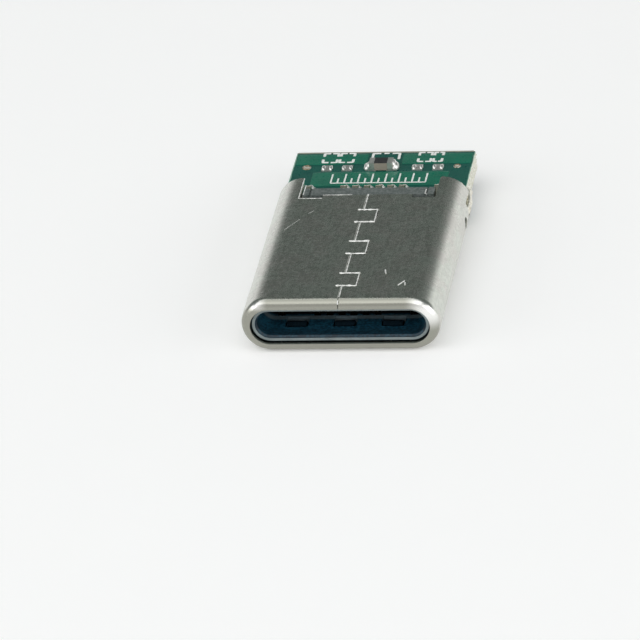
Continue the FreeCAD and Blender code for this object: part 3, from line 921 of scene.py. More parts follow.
@dataclass(frozen=True)
class Fibreglass(Finish):
    """Sawn edge of the laminate: cream resin with pale strands and dark pits."""

    name: str = "sawn_laminate"
    resin: Colour = (0.80, 0.79, 0.67)
    strand: Colour = (0.93, 0.93, 0.87)
    pit: Colour = (0.48, 0.46, 0.35)
    strands: Grain = Grain(1.4, 4.0, 0.65, (5.0, 3.0, 14.0))
    lumps: Grain = Grain(5.0, 4.0, 0.7)

    def laid(self, made: Surface, at: Place) -> tuple[Value, bpy.types.NodeSocket]:
        """Lay the laminate in a surface.

        Args:
            made: The surface.
            at: Object coordinates.

        Returns:
            The height of the strands and the colour.
        """
        strands = made.noise(at, self.strands)
        lumps = made.noise(at, self.lumps)
        colour = made.mix(strands.rise(0.42, 0.62), self.resin, self.strand)
        colour = made.mix(lumps.rise(0.44, 0.30), colour, self.pit)
        return strands * 0.6 + lumps * 0.4, colour

    def paint(self, made: Surface, at: Place) -> None:
        """Feed the shader with the laminate alone.

        Args:
            made: The surface.
            at: Object coordinates.
        """
        height, colour = self.laid(made, at)
        made.set(base_color=colour, roughness=0.75, normal=made.bump(height, 0.03))


@dataclass(frozen=True)
class SolderResist(Finish):
    """Green resist: a glossy coat with faint ripples, and bare laminate at a sawn edge if it has one.

    thin is the resist beside the sides, paler partly as thinner resist and partly as a painted highlight of
    the edge; milled is the bared strip along the rear.
    """

    colour: Colour
    deep: Colour
    edge: Fibreglass | None = None
    thin: Colour = (0.30, 0.50, 0.40)
    milled: Colour = (0.33, 0.33, 0.27)
    side: float = 3.79
    side_fade: float = 0.04
    rear: float = 7.03
    rear_fade: float = 0.06
    raggedness: float = 0.12
    cloud: Grain = Grain(2.2, 4.0, 0.6)
    ripple: Grain = Grain(14.0, 3.0, 0.6)

    def paint(self, made: Surface, at: Place) -> None:
        """Lay the coat, and the laminate where the surface stands upright.

        Args:
            made: The surface.
            at: Object coordinates.
        """
        cloud = made.noise(at, self.cloud)
        fine = made.noise(at, self.ripple)
        colour = made.mix((cloud * 0.7 + fine * 0.5).rise(0.4, 0.8), self.colour, self.deep)
        roughness = 0.30 + (fine - 0.5) * 0.2
        height = cloud * 0.3 + fine * 0.7
        if self.edge:
            rim = abs(made.facing().z).rise(0.8, 0.5)
            strands, laminate = self.edge.laid(made, at)
            ragged = (cloud - 0.5) * self.raggedness
            beside = (abs(at.x) + ragged).rise(self.side, self.side + self.side_fade)
            behind = (at.y + ragged).rise(self.rear, self.rear + self.rear_fade)
            # Beside the sides the resist turns paler: partly thinner resist, partly a painted highlight of
            # the board's edge.
            colour = made.mix(behind, made.mix(beside, colour, self.thin), self.milled)
            colour = made.mix(rim, colour, laminate)
            roughness = roughness + rim * 0.45
            height = height * (1 - rim) * 0.2 + strands * rim
        made.set(base_color=colour, roughness=roughness, coat_weight=0.25, coat_roughness=0.15,
                 normal=made.bump(height, 0.012))


@dataclass(frozen=True)
class TinnedCopper(Finish):
    """Levelled tin on a copper pad: matt grey with smears and scratches."""

    name: str = "tinned_copper"
    tin: Colour = (0.50, 0.53, 0.50)
    smear: Colour = (0.66, 0.67, 0.64)
    cloud: Grain = Grain(1.6, 4.0, 0.6)
    fine: Grain = Grain(11.0, 4.0, 0.65)
    rubbed: Grain = Grain(2.2, 3.0, 0.5, (2.0, 9.0, 2.0))

    def paint(self, made: Surface, at: Place) -> None:
        """Smear the tin.

        Args:
            made: The surface.
            at: Object coordinates.
        """
        cloud = made.noise(at, self.cloud)
        fine = made.noise(at, self.fine)
        rubbed = made.noise(at, self.rubbed)
        light = (cloud * 0.8 + fine * 0.4 + rubbed * 0.3).rise(0.6, 0.95)
        made.set(base_color=made.mix(light, self.tin, self.smear), metallic=0.85,
                 roughness=0.42 + (fine - 0.5) * 0.3, normal=made.bump(cloud * 0.5 + fine * 0.5, 0.018))


@dataclass(frozen=True)
class ChipCeramic(Finish):
    """Dark glass over the ceramic of the chip resistor, pale at its sides."""

    name: str = "chip_ceramic"
    glass: Colour = (0.022, 0.022, 0.024)
    ceramic: Colour = (0.34, 0.30, 0.25)
    fine: Grain = Grain(16.0)

    def paint(self, made: Surface, at: Place) -> None:
        """Glaze the top over pale sides.

        Args:
            made: The surface.
            at: Object coordinates.
        """
        fine = made.noise(at, self.fine)
        top = (made.facing().z + fine * 0.1).rise(0.5, 0.7)
        made.set(base_color=made.mix(top, self.ceramic, self.glass), roughness=0.36 + (fine - 0.5) * 0.2,
                 normal=made.bump(fine, 0.006))


@dataclass(frozen=True)
class StageCard(Finish):
    """Plain white card under the object, which keeps its shadow; lift is its faint glow to the camera."""

    name: str = "stage_card"
    colour: Colour = (0.92, 0.92, 0.92)
    shade: Colour = (0.9108, 0.9108, 0.9108)
    grain: Grain = Grain(0.4, 2.0)
    lift: float = 0.16

    def paint(self, made: Surface, at: Place) -> None:
        """Tone the card, and let it glow to the camera and in reflections.

        Args:
            made: The surface.
            at: Object coordinates.
        """
        made.set(base_color=made.mix(made.noise(at, self.grain), self.colour, self.shade), roughness=0.9)
        path = made.node("ShaderNodeLightPath")
        seen = made.number(path, "Is Camera Ray").highest(made.number(path, "Is Glossy Ray"))
        glow = made.mix(seen, BLACK, WHITE)
        made.set(emission_color=glow, emission_strength=self.lift)


class Workshop:
    """Turns meshes into named pieces of the object, whose edges are smooth up to an angle."""

    smooth_up_to = math.radians(40.0)

    def __init__(self) -> None:
        """Start with no material made."""
        self.made: dict[str, bpy.types.Material] = {}

    def finish(self, finish: Finish) -> bpy.types.Material:
        """The material of a finish, built once.

        Args:
            finish: One of the finishes.

        Returns:
            Its material.
        """
        if finish.name not in self.made:
            self.made[finish.name] = finish.material()
        return self.made[finish.name]

    def dress(self, node: str, finish: Finish) -> None:
        """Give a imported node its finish.

        Args:
            node: The node's name.
            finish: Its finish.
        """
        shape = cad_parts[node]
        shape.data.materials.clear()
        shape.data.materials.append(self.finish(finish))
        log.info("dressed %s in %s", node, finish.name)

    def piece(self, name: str, mesh: bpy.types.Mesh, finish: Finish,
              replaces: tuple[str, ...] = ()) -> None:
        """Make a finished mesh in metres a piece of the object.

        Args:
            name: The piece's name.
            mesh: Its mesh, in place.
            finish: Its finish.
            replaces: Nodes that it stands for.
        """
        mesh.name = name
        if not mesh.materials:
            mesh.materials.append(self.finish(finish))
        mesh.shade_smooth()
        mesh.set_sharp_from_angle(angle=self.smooth_up_to)
        shape = in_scene(name, mesh)
        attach(shape, "root")
        if replaces:
            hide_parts(*replaces)
        log.info("made %s with %d faces", name, len(mesh.polygons))

    def ridge(self, name: str, ridge: Ridge, lines: Sequence[Line], level: float, finish: Finish,
              slot: str) -> None:
        """Make a ridge along lines a piece of the object.

        Args:
            name: The piece's name.
            ridge: The ridge.
            lines: The lines, each as (x, y) points.
            level: Height of the face under it.
            finish: Its finish.
            slot: Not used.
        """
        self.piece(name, ridge.along(name, lines, level, self.finish(finish)), finish)


def evaluated_mesh(shape: bpy.types.Object, scale: float = 1.0) -> bpy.types.Mesh:
    """Mesh of an object with its modifiers, after which the object is removed.

    Args:
        shape: The object, in the scene.
        scale: Factor on its coordinates.

    Returns:
        A new mesh.
    """
    bpy.context.view_layer.update()
    graph = bpy.context.evaluated_depsgraph_get()
    mesh = bpy.data.meshes.new_from_object(shape.evaluated_get(graph), depsgraph=graph)
    mesh.transform(Matrix.Scale(scale, 4))
    bpy.data.objects.remove(shape)
    return mesh


def in_scene(name: str, data: bpy.types.ID) -> bpy.types.Object:
    """Put data in the scene as an object."""
    shape = bpy.data.objects.new(name, data)
    bpy.context.scene.collection.objects.link(shape)
    return shape


def point_mesh(points: Sequence[Spot]) -> bpy.types.Mesh:
    """Mesh of single points."""
    mesh = bpy.data.meshes.new("points")
    mesh.from_pydata(points, [], [])
    return mesh


def line_mesh(lines: Sequence[Sequence[tuple[float, ...]]]) -> bpy.types.Mesh:
    """Mesh of open lines through 2-D or 3-D points."""
    points = []
    edges = []
    for line in lines:
        first = len(points)
        points.extend(tuple(point) if len(point) == 3 else (*point, 0.0) for point in line)
        edges.extend((first + index, first + index + 1) for index in range(len(line) - 1))
    mesh = bpy.data.meshes.new("lines")
    mesh.from_pydata(points, edges, [])
    return mesh


def rounded(corners: list[Point], radius: float, steps: int = 5) -> list[Point]:
    """Outline with its corners rounded.

    Args:
        corners: The corners in order.
        radius: Radius of each corner, limited by its sides.
        steps: Points in each corner.

    Returns:
        The outline's points.
    """
    longest_share = 0.45
    points = []
    for index, corner in enumerate(corners):
        here = Vector(corner)
        before = Vector(corners[index - 1]) - here
        after = Vector(corners[(index + 1) % len(corners)]) - here
        reach = min(radius, longest_share * before.length, longest_share * after.length)
        start = here + before.normalized() * reach
        end = here + after.normalized() * reach
        for step in range(steps + 1):
            share = step / steps
            point = start.lerp(here, share).lerp(here.lerp(end, share), share)
            points.append((point.x, point.y))
    return points


def circle(x: float, y: float, radius: float, steps: int = 20) -> list[Point]:
    """Points of a circle."""
    turns = (2 * math.pi * step / steps for step in range(steps))
    return [(x + radius * math.cos(turn), y + radius * math.sin(turn)) for turn in turns]


@contextmanager
def edited(mesh: bpy.types.Mesh) -> Iterator[bmesh.types.BMesh]:
    """Open a mesh for editing and write it back.

    Args:
        mesh: The mesh.

    Yields:
        The open mesh.
    """
    work = bmesh.new()
    work.from_mesh(mesh)
    yield work
    work.to_mesh(mesh)
    work.free()


def plate(outlines: list[list[Point]], low: float, high: float, soft: float) -> bpy.types.Mesh:
    """Flat plate with openings and softened edges.

    Args:
        outlines: Outer outlines and openings, in millimetres.
        low: Its lower face.
        high: Its upper face.
        soft: Size of its softened edges.

    Returns:
        Its mesh in metres.
    """
    merged_up_to = 0.0005
    curve = bpy.data.curves.new("plate", "CURVE")
    curve.dimensions = "2D"
    curve.fill_mode = "BOTH"
    curve.extrude = (high - low) / 2 - soft
    curve.bevel_depth = soft
    curve.bevel_resolution = 2
    curve.offset = -soft
    for outline in outlines:
        spline = curve.splines.new("POLY")
        spline.points.add(len(outline) - 1)
        for point, (x, y) in zip(spline.points, outline):
            point.co = (x, y, 0.0, 1.0)
        spline.use_cyclic_u = True
    mesh = evaluated_mesh(in_scene("plate", curve))
    mesh.transform(Matrix.Translation((0.0, 0.0, (low + high) / 2)))
    with edited(mesh) as work:
        bmesh.ops.remove_doubles(work, verts=work.verts, dist=merged_up_to)
        bmesh.ops.recalc_face_normals(work, faces=work.faces)
    mesh.transform(Matrix.Scale(MM, 4))
    return mesh


def joined(meshes: Sequence[bpy.types.Mesh]) -> bpy.types.Mesh:
    """One mesh from several."""
    made = bpy.data.meshes.new("joined")
    with edited(made) as work:
        for mesh in meshes:
            work.from_mesh(mesh)
    return made


@dataclass(frozen=True)
class Lump:
    """One swelling: an ellipsoid by its centre and half sizes, in millimetres."""

    centre: Spot
    half: Spot

    def on_side(self, side: float) -> "Lump":
        """The same swelling on the side +1 or, mirrored, on the side -1."""
        x, y, z = self.centre
        return Lump((side * x, y, z), self.half)


@dataclass(frozen=True)
class Fusion:
    """How swellings run together into one skin. In millimetres.

    Nothing is left below the floor, where it has one.
    """

    fineness: float
    relaxing: int = 6
    pull: float = 0.7
    floor: float | None = None

    def of(self, lumps: Sequence[Lump]) -> bpy.types.Mesh:
        """Run swellings together.

        Args:
            lumps: The swellings.

        Returns:
            Their mesh in metres.
        """
        mesh = bpy.data.meshes.new("fused")
        with edited(mesh) as work:
            for lump in lumps:
                place = Matrix.Translation(lump.centre) @ Matrix.Diagonal((*lump.half, 1.0))
                bmesh.ops.create_icosphere(work, subdivisions=3, radius=1.0, matrix=place)
        shape = in_scene("fused", mesh)
        remesh = shape.modifiers.new("run_together", "REMESH")
        remesh.mode = "VOXEL"
        remesh.voxel_size = self.fineness
        relax = shape.modifiers.new("relax", "SMOOTH")
        relax.factor = self.pull
        relax.iterations = self.relaxing
        made = evaluated_mesh(shape)
        if self.floor is not None:
            with edited(made) as work:
                for vertex in work.verts:
                    vertex.co.z = max(vertex.co.z, self.floor)
        made.transform(Matrix.Scale(MM, 4))
        return made


@dataclass
class PlugShell:
    """The folded sheet, with the springs and the latch plate that it holds."""

    sheet: PlatedSheet = PlatedSheet()
    edge: ShearedEdge = ShearedEdge()
    spring: SpringMetal = SpringMetal()
    slot: str = "shell_steel"
    top: float = TOP
    mouth: float = MOUTH
    seam_start: float = -6.80
    seam_end: float = 1.90
    edge_offset: float = 0.028
    tooth_reach: float = 0.63
    tooth_relief: float = 0.18
    tooth_length: float = 1.05
    first_tooth: float = 1.28
    tooth_pitch: float = 2.70
    tooth_count: int = 3
    wing_inner: float = 2.90
    wing_end: float = 3.36
    notch_inner: float = 1.90
    notch_front: float = 1.63
    cutout_front: float = 1.90
    cutout_burr_end: float = -0.65
    cutout_burr_inset: float = 0.008
    seam_sink: float = 0.004
    cutout_sink: float = 0.008
    bead_inset: float = 0.02
    tooth_burr: Ridge = Ridge(0.085, 0.022, 0.030, 1.70)
    run_burr: Ridge = Ridge(0.052, 0.022, 0.014, 1.20)
    edge_burr: Ridge = Ridge(0.050, 0.018, 0.012, 0.70)
    scratch: Ridge = Ridge(0.055, 0.020, 0.030, 0.60)
    fine_scratch: Ridge = Ridge(0.015, 0.005, 0.020, 0.80)
    corner_bead: Beads = Beads(0.17, 0.13, 0.034, 0.6)
    nick_skin: Fusion = Fusion(0.010)
    nick: tuple[Lump, ...] = (
        Lump((0.014, -7.080, 2.350), (0.030, 0.085, 0.050)),
        Lump((0.010, -7.140, 2.280), (0.026, 0.045, 0.070)),
    )
    scratches: tuple[Line, ...] = (
        ((1.64, -4.58), (1.71, -4.94)),
        ((2.34, -5.88), (2.56, -5.52)),
        ((2.60, -5.66), (2.63, -5.86)),
    )
    fine_scratches: tuple[Line, ...] = (
        ((-3.11, -1.11), (-2.57, -0.18)),
        ((-2.28, 0.30), (-2.10, 0.52)),
    )

    def build(self, shop: Workshop) -> None:
        """Dress the shell and the plates in it, and raise its burrs.

        Args:
            shop: Where pieces are made.
        """
        shop.dress("shell", self.sheet)
        for node in ("latch_plate", "upper_ground_spring", "lower_ground_spring"):
            shop.dress(node, self.spring)
        seam = self.top - self.seam_sink
        cutout = self.top - self.cutout_sink
        shop.ridge("tooth_burrs", self.tooth_burr, self.tooth_lines(), seam, self.edge, self.slot)
        shop.ridge("run_burrs", self.run_burr, self.run_lines(), seam, self.edge, self.slot)
        shop.ridge("cutout_burrs", self.edge_burr, self.cutout_lines(), cutout, self.edge, self.slot)
        bright = shop.finish(self.edge)
        scratches = [self.scratch.along("scratches", self.scratches, self.top, bright),
                     self.fine_scratch.along("fine_scratches", self.fine_scratches, self.top, bright)]
        shop.piece("scratches", joined(scratches), self.edge)
        ends = [(-self.tooth_relief + self.bead_inset, y, self.top) for y in self.tooth_edges()]
        corners = self.corner_bead.at("tooth_corners", ends, bright)
        shop.piece("tooth_corners", corners, self.edge)
        shop.piece("lip_burr", self.nick_skin.of(self.nick), self.edge)

    def teeth(self) -> list[float]:
        """Where each tooth of the seam begins."""
        first = self.mouth + self.first_tooth
        return [first + index * self.tooth_pitch for index in range(self.tooth_count)]

    def tooth_edges(self) -> list[float]:
        """Where the bright edges before and behind the teeth lie."""
        return [y + self.edge_offset for near in self.teeth() for y in (near, near + self.tooth_length)]

    def tooth_lines(self) -> list[Line]:
        """Bright edges across the seam, before and behind each tooth, as (x, y)."""
        return [[(-self.tooth_relief, y), (self.tooth_reach, y)] for y in self.tooth_edges()]

    def run_lines(self) -> list[Line]:
        """Bright edges along the seam, between the teeth and at their ends, as (x, y)."""
        lines = []
        start = self.seam_start
        beside = self.edge_offset
        for near in self.teeth():
            far = near + self.tooth_length
            lines.append([(beside, start), (beside, near)])
            lines.append([(self.tooth_reach - beside, near), (self.tooth_reach - beside, far)])
            start = far + beside
        lines.append([(beside, start), (beside, self.seam_end)])
        return lines

    def cutout_lines(self) -> list[Line]:
        """Bright edges of the left half of the seam side's cut-out, as (x, y)."""
        inset = self.cutout_burr_inset
        wing = -self.wing_inner - inset
        notch = self.notch_front - inset
        front = self.cutout_front - inset
        return [
            [(wing, notch), (wing, self.wing_end)],
            [(wing, notch), (-self.notch_inner, notch)],
            [(-self.notch_inner, front), (self.cutout_burr_end, front)],
        ]


@dataclass
class MouldedCore:
    """The nose liner and the two contact blocks with their contacts."""

    nose: NoseMoulding = NoseMoulding("nose_moulding", (0.001, 0.028, 0.058), (0.022, 0.138, 0.215), 0.50)
    block: Moulding = Moulding("block_moulding", (0.085, 0.105, 0.100), (0.16, 0.18, 0.175), 0.5)
    gold: GoldPlate = GoldPlate()
    rubbed: ShearedEdge = ShearedEdge()
    flash: Ridge = Ridge(0.050, 0.016, 0.014, 0.90)
    flash_sink: float = 0.004
    bar_top: float = 2.375
    flash_lines: tuple[Line, ...] = (
        ((2.42, 2.34), (2.41, 1.97), (2.50, 1.93)),
        ((-2.76, 1.96), (-2.76, 2.80)),
    )

    def build(self, shop: Workshop) -> None:
        """Dress the mouldings and the contacts, with rubbed flash on the bar.

        Args:
            shop: Where pieces are made.
        """
        shop.dress("front_insulator", self.nose)
        for row in ("upper", "lower"):
            shop.dress(f"{row}_contact_block", self.block)
            for place in CONTACT_PLACES:
                shop.dress(f"{row}_contact_{place}", self.gold)
        level = self.bar_top - self.flash_sink
        shop.ridge("bar_flash", self.flash, self.flash_lines, level, self.rubbed, "grey_moulding")


@dataclass(frozen=True)
class Swirl:
    """Curved scratch: its middle as (x, distance from the rear edge), radius, and angles in degrees."""

    x: float
    distance: float
    radius: float
    start: float
    sweep: float
    steps: int = 12

    def points(self) -> list[Point]:
        """Points along the scratch."""
        turns = [math.radians(self.start + self.sweep * step / self.steps) for step in range(self.steps + 1)]
        return [(self.x + self.radius * math.cos(turn), self.distance + self.radius * math.sin(turn))
                for turn in turns]


@dataclass
class WiringBoard:
    """The green board with its copper, vias, print and sawn edges.

    Points on its faces are given as (x, distance from the rear edge).
    """

    half_width: float = 3.85
    rear: float = REAR
    middle: float = TOP / 2
    half_thickness: float = 0.4
    copper: float = 0.022
    thin_copper: float = 0.0176
    copper_sink: float = 0.002
    copper_margin: float = 0.08
    pad_thickness: float = 0.035
    pad_gap: float = 0.05
    hole_gap: float = 0.03
    large_hole: float = 0.30
    small_hole: float = 0.20
    pad_holes: Line = ((-2.40, 0.62), (2.75, 0.50))
    large_vias: Line = ((-3.25, 1.36),)
    small_vias: Line = (
        (3.22, 1.36), (-2.42, 2.75), (-1.90, 2.75), (-0.90, 2.30),
        (1.10, 2.70), (1.65, 2.70), (3.00, 2.95), (3.56, 2.95),
    )
    large_ring: Eyelets = Eyelets(0.28, 0.06, 0.030)
    small_ring: Eyelets = Eyelets(0.19, 0.07, 0.030)
    trace: Ridge = Ridge(0.15, 0.018)
    hook: Line = ((0.38, 2.80), (-0.30, 2.80), (-0.30, 3.22), (0.38, 3.22))
    sign_stroke: Ridge = Ridge(0.24, 0.012, 0.02, 0.08)
    signs: tuple[Line, ...] = (
        ((-1.02, 1.06), (-0.22, 1.06)),
        ((1.12, 0.64), (1.12, 1.44)),
        ((0.72, 1.04), (1.52, 1.04)),
    )
    stroke: Ridge = Ridge(0.115, 0.011, 0.022, 0.22)
    part_sides: Line = ((-2.62, -2.02), (-1.90, -1.32), (1.48, 2.02), (2.14, 2.50))
    part_near: float = 0.16
    part_far: float = 0.96
    bracket_leg: float = 0.26
    bracket_arm_share: float = 0.42
    resistor_marks: tuple[Line, ...] = (
        ((-0.52, 0.72), (-0.52, 0.20), (-0.20, 0.20)),
        ((0.30, 0.20), (0.62, 0.20), (0.62, 0.72)),
        ((-0.06, 0.20), (0.16, 0.20)),
    )
    thin_stroke: Ridge = Ridge(0.075, 0.011, 0.014, 0.30)
    tick_count: int = 15
    first_tick: float = -2.02
    tick_pitch: float = 0.29
    scale_foot: float = 2.80
    scale_end: float = 2.04
    tall_tick: float = 2.02
    short_tick: float = 2.40
    dab: Beads = Beads(0.17, 0.40, 0.075, 0.75)
    empty_pads: tuple[float, ...] = (-2.34, -1.48, 1.55, 2.42)
    dab_distance: float = 1.48
    dab_apart: float = 0.155
    pad_scratch: Ridge = Ridge(0.030, 0.006, 0.030, 0.60)
    swirls: tuple[Swirl, ...] = (
        Swirl(-2.40, 0.62, 0.27, 20, 210), Swirl(-2.40, 0.62, 0.36, 150, 120),
        Swirl(2.75, 0.50, 0.27, 200, 220), Swirl(2.75, 0.50, 0.35, 30, 100),
        Swirl(-2.30, 1.10, 0.42, 40, 90), Swirl(2.30, 1.15, 0.40, 100, 80),
    )
    fringe: Strands = Strands()
    fringe_front: float = 4.35
    fringe_rear_gap: float = 0.06
    fringe_sink: float = 0.01
    fringe_rows: tuple[float, ...] = (-0.28, 0.0, 0.28)
    resist: SolderResist = SolderResist("resist_on_laminate", (0.002, 0.105, 0.076), (0.001, 0.078, 0.062),
                                        Fibreglass())
    poured: SolderResist = SolderResist("resist_on_copper", (0.002, 0.170, 0.100), (0.001, 0.130, 0.080))
    tin: TinnedCopper = TinnedCopper()
    solder: BrightSolder = BrightSolder()
    ring: TarnishedRing = TarnishedRing()
    print: PrintedInk = PrintedInk()
    laminate: Fibreglass = Fibreglass()

    def build(self, shop: Workshop) -> None:
        """Dress the board and lay what is on it.

        Args:
            shop: Where pieces are made.
        """
        shop.dress("board", self.resist)
        for node in ("minus_pad", "plus_pad", "upper_contact_pads", "lower_contact_pads", "component_pads"):
            shop.dress(node, self.tin)
        hook = self.trace.along("trace", [self.at(self.hook)], self.level(Face.PAD_SIDE),
                                shop.finish(self.poured))
        copper = joined([self.pad_side_copper(), hook])
        shop.piece("pad_side_copper", copper, self.poured)
        shop.piece("seam_side_copper", self.seam_side_copper(), self.poured)
        self.lay_rings(shop)
        self.print_marks(shop)
        self.dab_pads(shop)
        self.scratch_pads(shop)
        self.fray_edges(shop)

    def at(self, points: Line) -> list[Point]:
        """Turn (x, distance from the rear edge) into (x, y)."""
        return [(x, self.rear - distance) for x, distance in points]

    def level(self, face: Face, height: float = 0.0) -> float:
        """Height in the row of a level measured out from one face of the board."""
        return self.middle + face.value * (self.half_thickness + height)

    def on(self, face: Face, points: Line, height: float = 0.0) -> list[Spot]:
        """Turn (x, distance from the rear edge) into places above one face of the board."""
        return [(x, y, self.level(face, height)) for x, y in self.at(points)]

    def lay_rings(self, shop: Workshop) -> None:
        """Plated rings: all on the pad side, two on the seam side, where resist tents the rest.

        Args:
            shop: Where pieces are made.
        """
        metal = shop.finish(self.ring)
        large = [*self.on(Face.PAD_SIDE, self.large_vias), *self.on(Face.SEAM_SIDE, self.large_vias)]
        small = [*self.on(Face.PAD_SIDE, self.small_vias), *self.on(Face.SEAM_SIDE, self.small_vias[:1])]
        rings = [self.large_ring.at("large_rings", large, metal),
                 self.small_ring.at("small_rings", small, metal)]
        shop.piece("hole_rings", joined(rings), self.ring)

    def print_marks(self, shop: Workshop) -> None:
        """Plain printed marks: signs beside the wire pads, brackets and ticks on the seam side.

        Args:
            shop: Where pieces are made.
        """
        for name, stroke, lines, face in (
            ("polarity_signs", self.sign_stroke, self.signs, Face.PAD_SIDE),
            ("printed_brackets", self.stroke, self.bracket_lines(), Face.SEAM_SIDE),
            ("printed_ticks", self.thin_stroke, self.tick_lines(), Face.SEAM_SIDE),
        ):
            placed = [self.at(line) for line in lines]
            shop.ridge(name, stroke, placed, self.level(face, self.copper), self.print, "board_green")

    def bracket_lines(self) -> list[Line]:
        """Corner brackets round the places of the small parts."""
        near, far, leg = self.part_near, self.part_far, self.bracket_leg
        lines = []
        for left, right in self.part_sides:
            arm = (right - left) * self.bracket_arm_share
            lines += [
                [(left + arm, near), (left, near), (left, near + leg)],
                [(right - arm, far), (right, far), (right, far - leg)],
                [(left, far - leg), (left, far), (left + arm, far)],
                [(right, near + leg), (right, near), (right - arm, near)],
            ]
        return [*lines, *self.resistor_marks]

    def tick_lines(self) -> list[Line]:
        """Plain scale of ticks in front of the small parts, every other one short."""
        lines = []
        for index in range(self.tick_count):
            x = self.first_tick + index * self.tick_pitch
            lines.append([(x, self.short_tick if index % 2 else self.tall_tick), (x, self.scale_foot)])
        lines.append([(self.first_tick, self.scale_foot), (self.scale_end, self.scale_foot)])
        return lines

    def dab_pads(self, shop: Workshop) -> None:
        """Two dabs of solder on each empty pad of the seam side.

        Args:
            shop: Where pieces are made.
        """
        spots = [(x + side * self.dab_apart, self.dab_distance) for x in self.empty_pads for side in (-1, 1)]
        places = self.on(Face.SEAM_SIDE, spots, self.pad_thickness)
        dabs = self.dab.at("pad_dabs", places, shop.finish(self.solder))
        shop.piece("pad_dabs", dabs, self.solder)

    def scratch_pads(self, shop: Workshop) -> None:
        """Curved drill and probe scratches on the wire pads.

        Args:
            shop: Where pieces are made.
        """
        lines = [self.at(swirl.points()) for swirl in self.swirls]
        level = self.level(Face.PAD_SIDE, self.pad_thickness)
        shop.ridge("pad_scratches", self.pad_scratch, lines, level, self.solder, "tinned_pad")

    def fray_edges(self, shop: Workshop) -> None:
        """Glass strands along the two sawn sides.

        Args:
            shop: Where pieces are made.
        """
        end = self.rear - self.fringe_rear_gap
        rows = []
        for side in (-1.0, 1.0):
            x = side * (self.half_width - self.fringe_sink)
            for step in self.fringe_rows:
                z = self.middle + step
                rows.append(((x, self.fringe_front, z), (x, end, z)))
        strands = self.fringe.along("edge_strands", rows, shop.finish(self.laminate))
        shop.piece("edge_strands", strands, self.laminate)

    def slab(self, face: Face, outlines: list[list[Point]], thickness: float) -> bpy.types.Mesh:
        """Sheet of copper on one face of the board.

        Args:
            face: The face.
            outlines: Outlines as (x, y).
            thickness: Its top above the face.

        Returns:
            Its mesh.
        """
        soft_share = 0.3
        low, high = sorted((self.level(face, -self.copper_sink), self.level(face, thickness)))
        return plate(outlines, low, high, (high - low) * soft_share)

    def hole_openings(self) -> list[list[Point]]:
        """Openings in the copper over the drilled holes, one outline for each hole."""
        large = [circle(x, y, self.large_hole / 2 + self.hole_gap)
                 for x, y in self.at([*self.pad_holes, *self.large_vias])]
        small = [circle(x, y, self.small_hole / 2 + self.hole_gap) for x, y in self.at(self.small_vias)]
        return large + small

    def pad_opening(self, node: str) -> list[Point]:
        """Opening in the resist round a packed pad."""
        low, high = (tuple(part / MM for part in corner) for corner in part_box(node))
        gap = self.pad_gap
        return [(low[0] - gap, low[1] - gap), (high[0] + gap, low[1] - gap),
                (high[0] + gap, high[1] + gap), (low[0] - gap, high[1] + gap)]

    def pad_side_copper(self) -> bpy.types.Mesh:
        """Copper of the pad side: two pours round the wire pads and the islands of the vias."""
        corner = 0.12
        edge = self.half_width - self.copper_margin
        minus = [(-edge, 0.06), (-0.06, 0.06), (-0.06, 0.75), (-0.96, 1.47), (-1.68, 2.20), (-3.33, 2.23),
                 (-3.33, 3.20), (-edge, 3.20)]
        plus = [(0.14, 0.06), (edge, 0.06), (edge, 2.19), (2.50, 2.24), (2.10, 2.66), (1.62, 3.00),
                (1.42, 3.12), (1.22, 3.00), (0.87, 2.60), (0.60, 2.36), (0.17, 1.93)]
        island = [(-2.87, 2.44), (-2.80, 2.90), (-1.61, 3.14), (-1.25, 3.14), (-1.60, 2.44)]
        teardrop = [(-1.20, 2.20), (-0.98, 2.02), (-0.74, 2.08), (-0.62, 2.32), (-0.56, 3.14), (-0.78, 3.14)]
        right = [(2.78, 2.62), (edge, 2.44), (edge, 3.20), (2.78, 3.14)]
        outlines = [rounded(self.at(points), corner) for points in (minus, plus, island, teardrop, right)]
        outlines += self.hole_openings()
        outlines += [self.pad_opening("minus_pad"), self.pad_opening("plus_pad")]
        return self.slab(Face.PAD_SIDE, outlines, self.copper)

    def seam_side_copper(self) -> bpy.types.Mesh:
        """Copper of the seam side: a pour at each rear corner and a bar across, in front of the pads."""
        corner = 0.08
        edge = self.half_width - self.copper_margin
        left = [(-edge, 0.24), (-0.72, 0.24), (-0.72, 1.10), (-2.05, 1.10), (-2.05, 1.14), (-edge, 1.14)]
        right = [(0.80, 0.24), (edge, 0.24), (edge, 1.14), (0.80, 1.14)]
        bar = [(-2.90, 1.84), (2.95, 1.84), (2.95, 3.06), (-2.90, 3.06)]
        outlines = [rounded(self.at(points), corner) for points in (left, right, bar)]
        return self.slab(Face.SEAM_SIDE, outlines, self.thin_copper)


